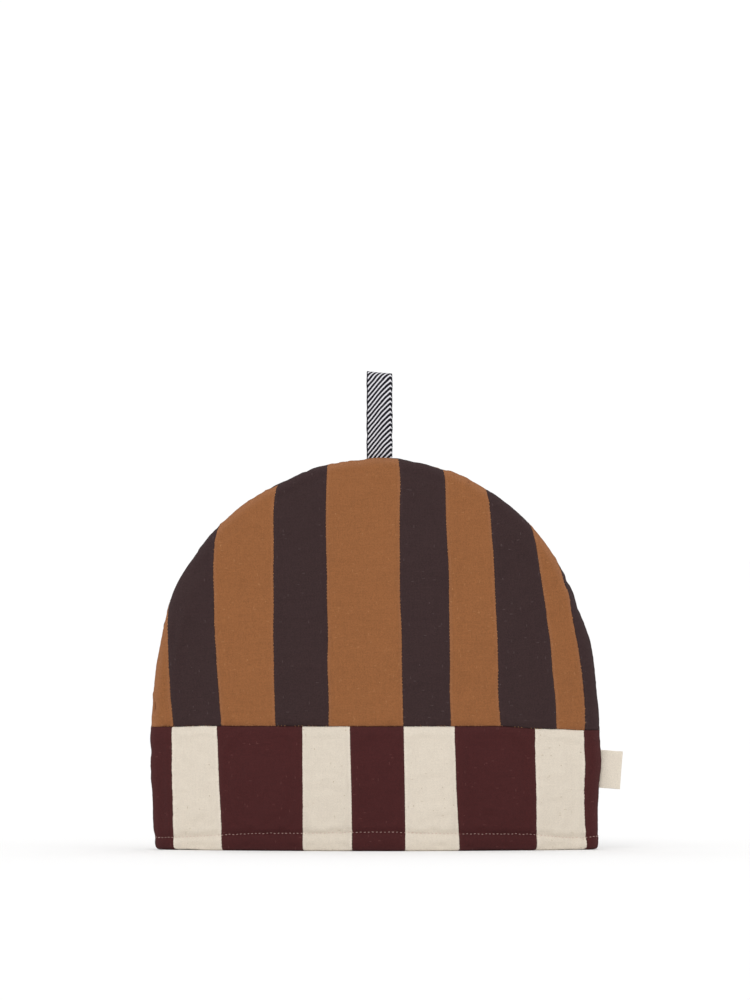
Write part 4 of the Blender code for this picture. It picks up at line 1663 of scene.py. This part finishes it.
class COSY_OT_hanging_loop(bpy.types.Operator):
    """Fold the twill tape into the hanging loop"""

    bl_idname = "cosy.hanging_loop"
    bl_label = "Hanging Loop"

    def execute(self, context):
        material = shared_material("diagonal_twill", twill_material, context.scene.cosy_loop)
        path = loop_path(LOOP_REACH, LOOP_ROOT, LOOP_HALF_OPENING, TAPE_THICKNESS, 70, 28)
        made = folded_tape(
            TAPE_WIDTH, TAPE_THICKNESS, path, LOOP_SLANT, seed=21, unevenness=0.00045
        )

        def placing(x, y, z):
            return x + BODY_X + LOOP_X, y, z + BODY_HEIGHT

        piece = tape_object("loop_tape", made, placing, material)
        finish_piece(piece, ("hanging_loop",))
        return {"FINISHED"}


class COSY_OT_side_label(bpy.types.Operator):
    """Fold the bare label into the side seam"""

    bl_idname = "cosy.side_label"
    bl_label = "Side Label"

    def execute(self, context):
        material = shared_material("label_cloth", label_material, context.scene.cosy_label)
        path = loop_path(LABEL_REACH, LABEL_ROOT, LABEL_HALF_OPENING, LABEL_THICKNESS, 34, 10)
        made = folded_tape(
            LABEL_WIDTH, LABEL_THICKNESS, path, 0, seed=33, unevenness=0.00022, columns=18
        )
        turn = math.pi / 2 + LABEL_DROOP
        cos, sin = math.cos(turn), math.sin(turn)
        side = BODY_X + at(half_width, LABEL_HEIGHT)

        def placing(x, y, z):
            return side + x * cos + z * sin, y, LABEL_HEIGHT - x * sin + z * cos

        piece = tape_object("label_tape", made, placing, material)
        finish_piece(piece, ("side_label",))
        return {"FINISHED"}


class COSY_OT_hem_stitching(bpy.types.Operator):
    """Topstitch the hem of both bands"""

    bl_idname = "cosy.hem_stitching"
    bl_label = "Hem Stitching"

    def execute(self, context):
        settings = context.scene.cosy_stitches
        for side in ("front", "back"):
            cloth = CLOTHS[side, "band"]
            reach = FOOT_HALF_WIDTH - EDGE_ROLL + ROLL_LENGTH - 0.0035
            x = np.arange(-reach, reach, 0.0009)
            z = hem_stitch_line(x) + waves(x, cloth.seed + 9, 0.011, 0.00016)
            chain = sewn_chain(x, z, cloth, settings.thickness * 0.35)
            stitched(f"{side}_hem_stitching", [chain], "hem_thread", {
                "Pitch": settings.hem_pitch,
                "Stitch Length": settings.hem_length,
                "Share Shown": 1.0,
                "Unevenness": 0.22,
                "Seed": settings.seed + cloth.seed,
            })
        return {"FINISHED"}


class COSY_OT_seam_stitching(bpy.types.Operator):
    """Let a few stitches show in the seams between the strips and at the waist"""

    bl_idname = "cosy.seam_stitching"
    bl_label = "Seam Stitching"

    def execute(self, context):
        settings = context.scene.cosy_stitches
        gap_along, lift, waist_lift = 0.0012, 0.00018, 0.00020
        for side, part in CLOTHS:
            cloth = CLOTHS[side, part]
            chains = []
            for row in range(len(cloth.seams)):
                low, high = 0.0015, WAIST_HEIGHT - 0.003
                if part == "crown":
                    low, high = WAIST_HEIGHT + 0.003, seam_crossing(cloth, row)[1] - 0.008
                z = np.arange(low, high, gap_along)
                chains.append(sewn_chain(seam_x(cloth, row, z), z, cloth, lift))
            if part == "crown":
                x = np.arange(-0.158, 0.158, gap_along)
                chains.append(sewn_chain(x, waist_line(x) + 2 * HALF_GAP, cloth, waist_lift))
            stitched(f"{side}_{part}_stitching", chains, f"{part}_thread", {
                "Pitch": settings.seam_pitch,
                "Stitch Length": settings.seam_length,
                "Share Shown": 0.5 if part == "crown" else 0.30,
                "Unevenness": 0.45,
                "Seed": settings.seed + cloth.seed + 3,
            })
        return {"FINISHED"}


class COSY_OT_stage(bpy.types.Operator):
    """Lay the floor, set the light and place the camera"""

    bl_idname = "cosy.stage"
    bl_label = "Stage"

    def execute(self, context):
        scene = context.scene
        settings = scene.cosy_stage
        corners = [(-60, -60, 0), (60, -60, 0), (60, 60, 0), (-60, 60, 0)]
        mesh = new_mesh("floor", corners, [(0, 1, 2, 3)])
        floor = new_object("floor", mesh)
        material, tree, shader = finished_material("floor_paper", 0.95)
        tone = object_noise(tree, 90.0, 3.0) * 0.02 + 0.99
        fill(shader, {"Base Color": brighter((*settings.floor, 1), tone)})
        mesh.materials.append(material)

        world = bpy.data.worlds.new("studio_daylight")
        world.use_nodes = True
        sky = world.node_tree.nodes["Background"]
        fill(sky, {"Color": (1, 1, 1, 1), "Strength": settings.daylight})
        scene.world = world

        window = bpy.data.lights.new("soft_window", "SUN")
        window.energy = settings.window
        window.angle = math.radians(16)
        window.color = (1.0, 0.99, 0.975)
        light = new_object("soft_window", window)
        light.location = (-0.3, -1.9, 1.3)
        light.rotation_euler = (-light.location).to_track_quat("-Z", "Y").to_euler()

        camera = bpy.data.cameras.new("camera")
        camera.lens = settings.lens
        camera.sensor_width = 36
        camera.clip_end = 200
        seen_height, picture_middle_x, picture_middle = 0.740, -0.0086, 0.2586
        distance = seen_height / 2 / (camera.sensor_width / 2 / camera.lens)
        view = new_object("camera", camera)
        view.location = (picture_middle_x, -distance, picture_middle)
        view.rotation_euler = (math.pi / 2, 0, 0)
        scene.camera = view
        scene.view_settings.view_transform = "Standard"
        scene.view_settings.look = "None"
        return {"FINISHED"}


OPERATORS = (
    COSY_OT_stage,
    COSY_OT_front_panel,
    COSY_OT_back_panel,
    COSY_OT_hanging_loop,
    COSY_OT_side_label,
    COSY_OT_hem_stitching,
    COSY_OT_seam_stitching,
)


class COSY_PT_sidebar(bpy.types.Panel):
    """The tea cosy's settings and its pieces"""

    bl_idname = "COSY_PT_sidebar"
    bl_label = "Tea Cosy"
    bl_space_type = "VIEW_3D"
    bl_region_type = "UI"
    bl_category = "Tea Cosy"

    def draw(self, context):
        for word in SETTINGS:
            settings = getattr(context.scene, word)
            box = self.layout.box()
            box.label(text=word.removeprefix("cosy_").title())
            for setting in settings.bl_rna.properties:
                if setting.identifier not in ("rna_type", "name"):
                    box.prop(settings, setting.identifier)
        for operator in OPERATORS:
            self.layout.operator(operator.bl_idname)


CLASSES = (*SETTINGS.values(), *OPERATORS, COSY_PT_sidebar)


def register():
    for one in CLASSES:
        bpy.utils.register_class(one)
    for word, group in SETTINGS.items():
        setattr(bpy.types.Scene, word, PointerProperty(type=group))


def unregister():
    for word in SETTINGS:
        delattr(bpy.types.Scene, word)
    for one in reversed(CLASSES):
        bpy.utils.unregister_class(one)


def main():
    register()
    bpy.ops.cosy.stage()
    bpy.ops.cosy.front_panel()
    bpy.ops.cosy.back_panel()
    bpy.ops.cosy.hanging_loop()
    bpy.ops.cosy.side_label()
    bpy.ops.cosy.hem_stitching()
    bpy.ops.cosy.seam_stitching()


if __name__ == "__main__":
    main()
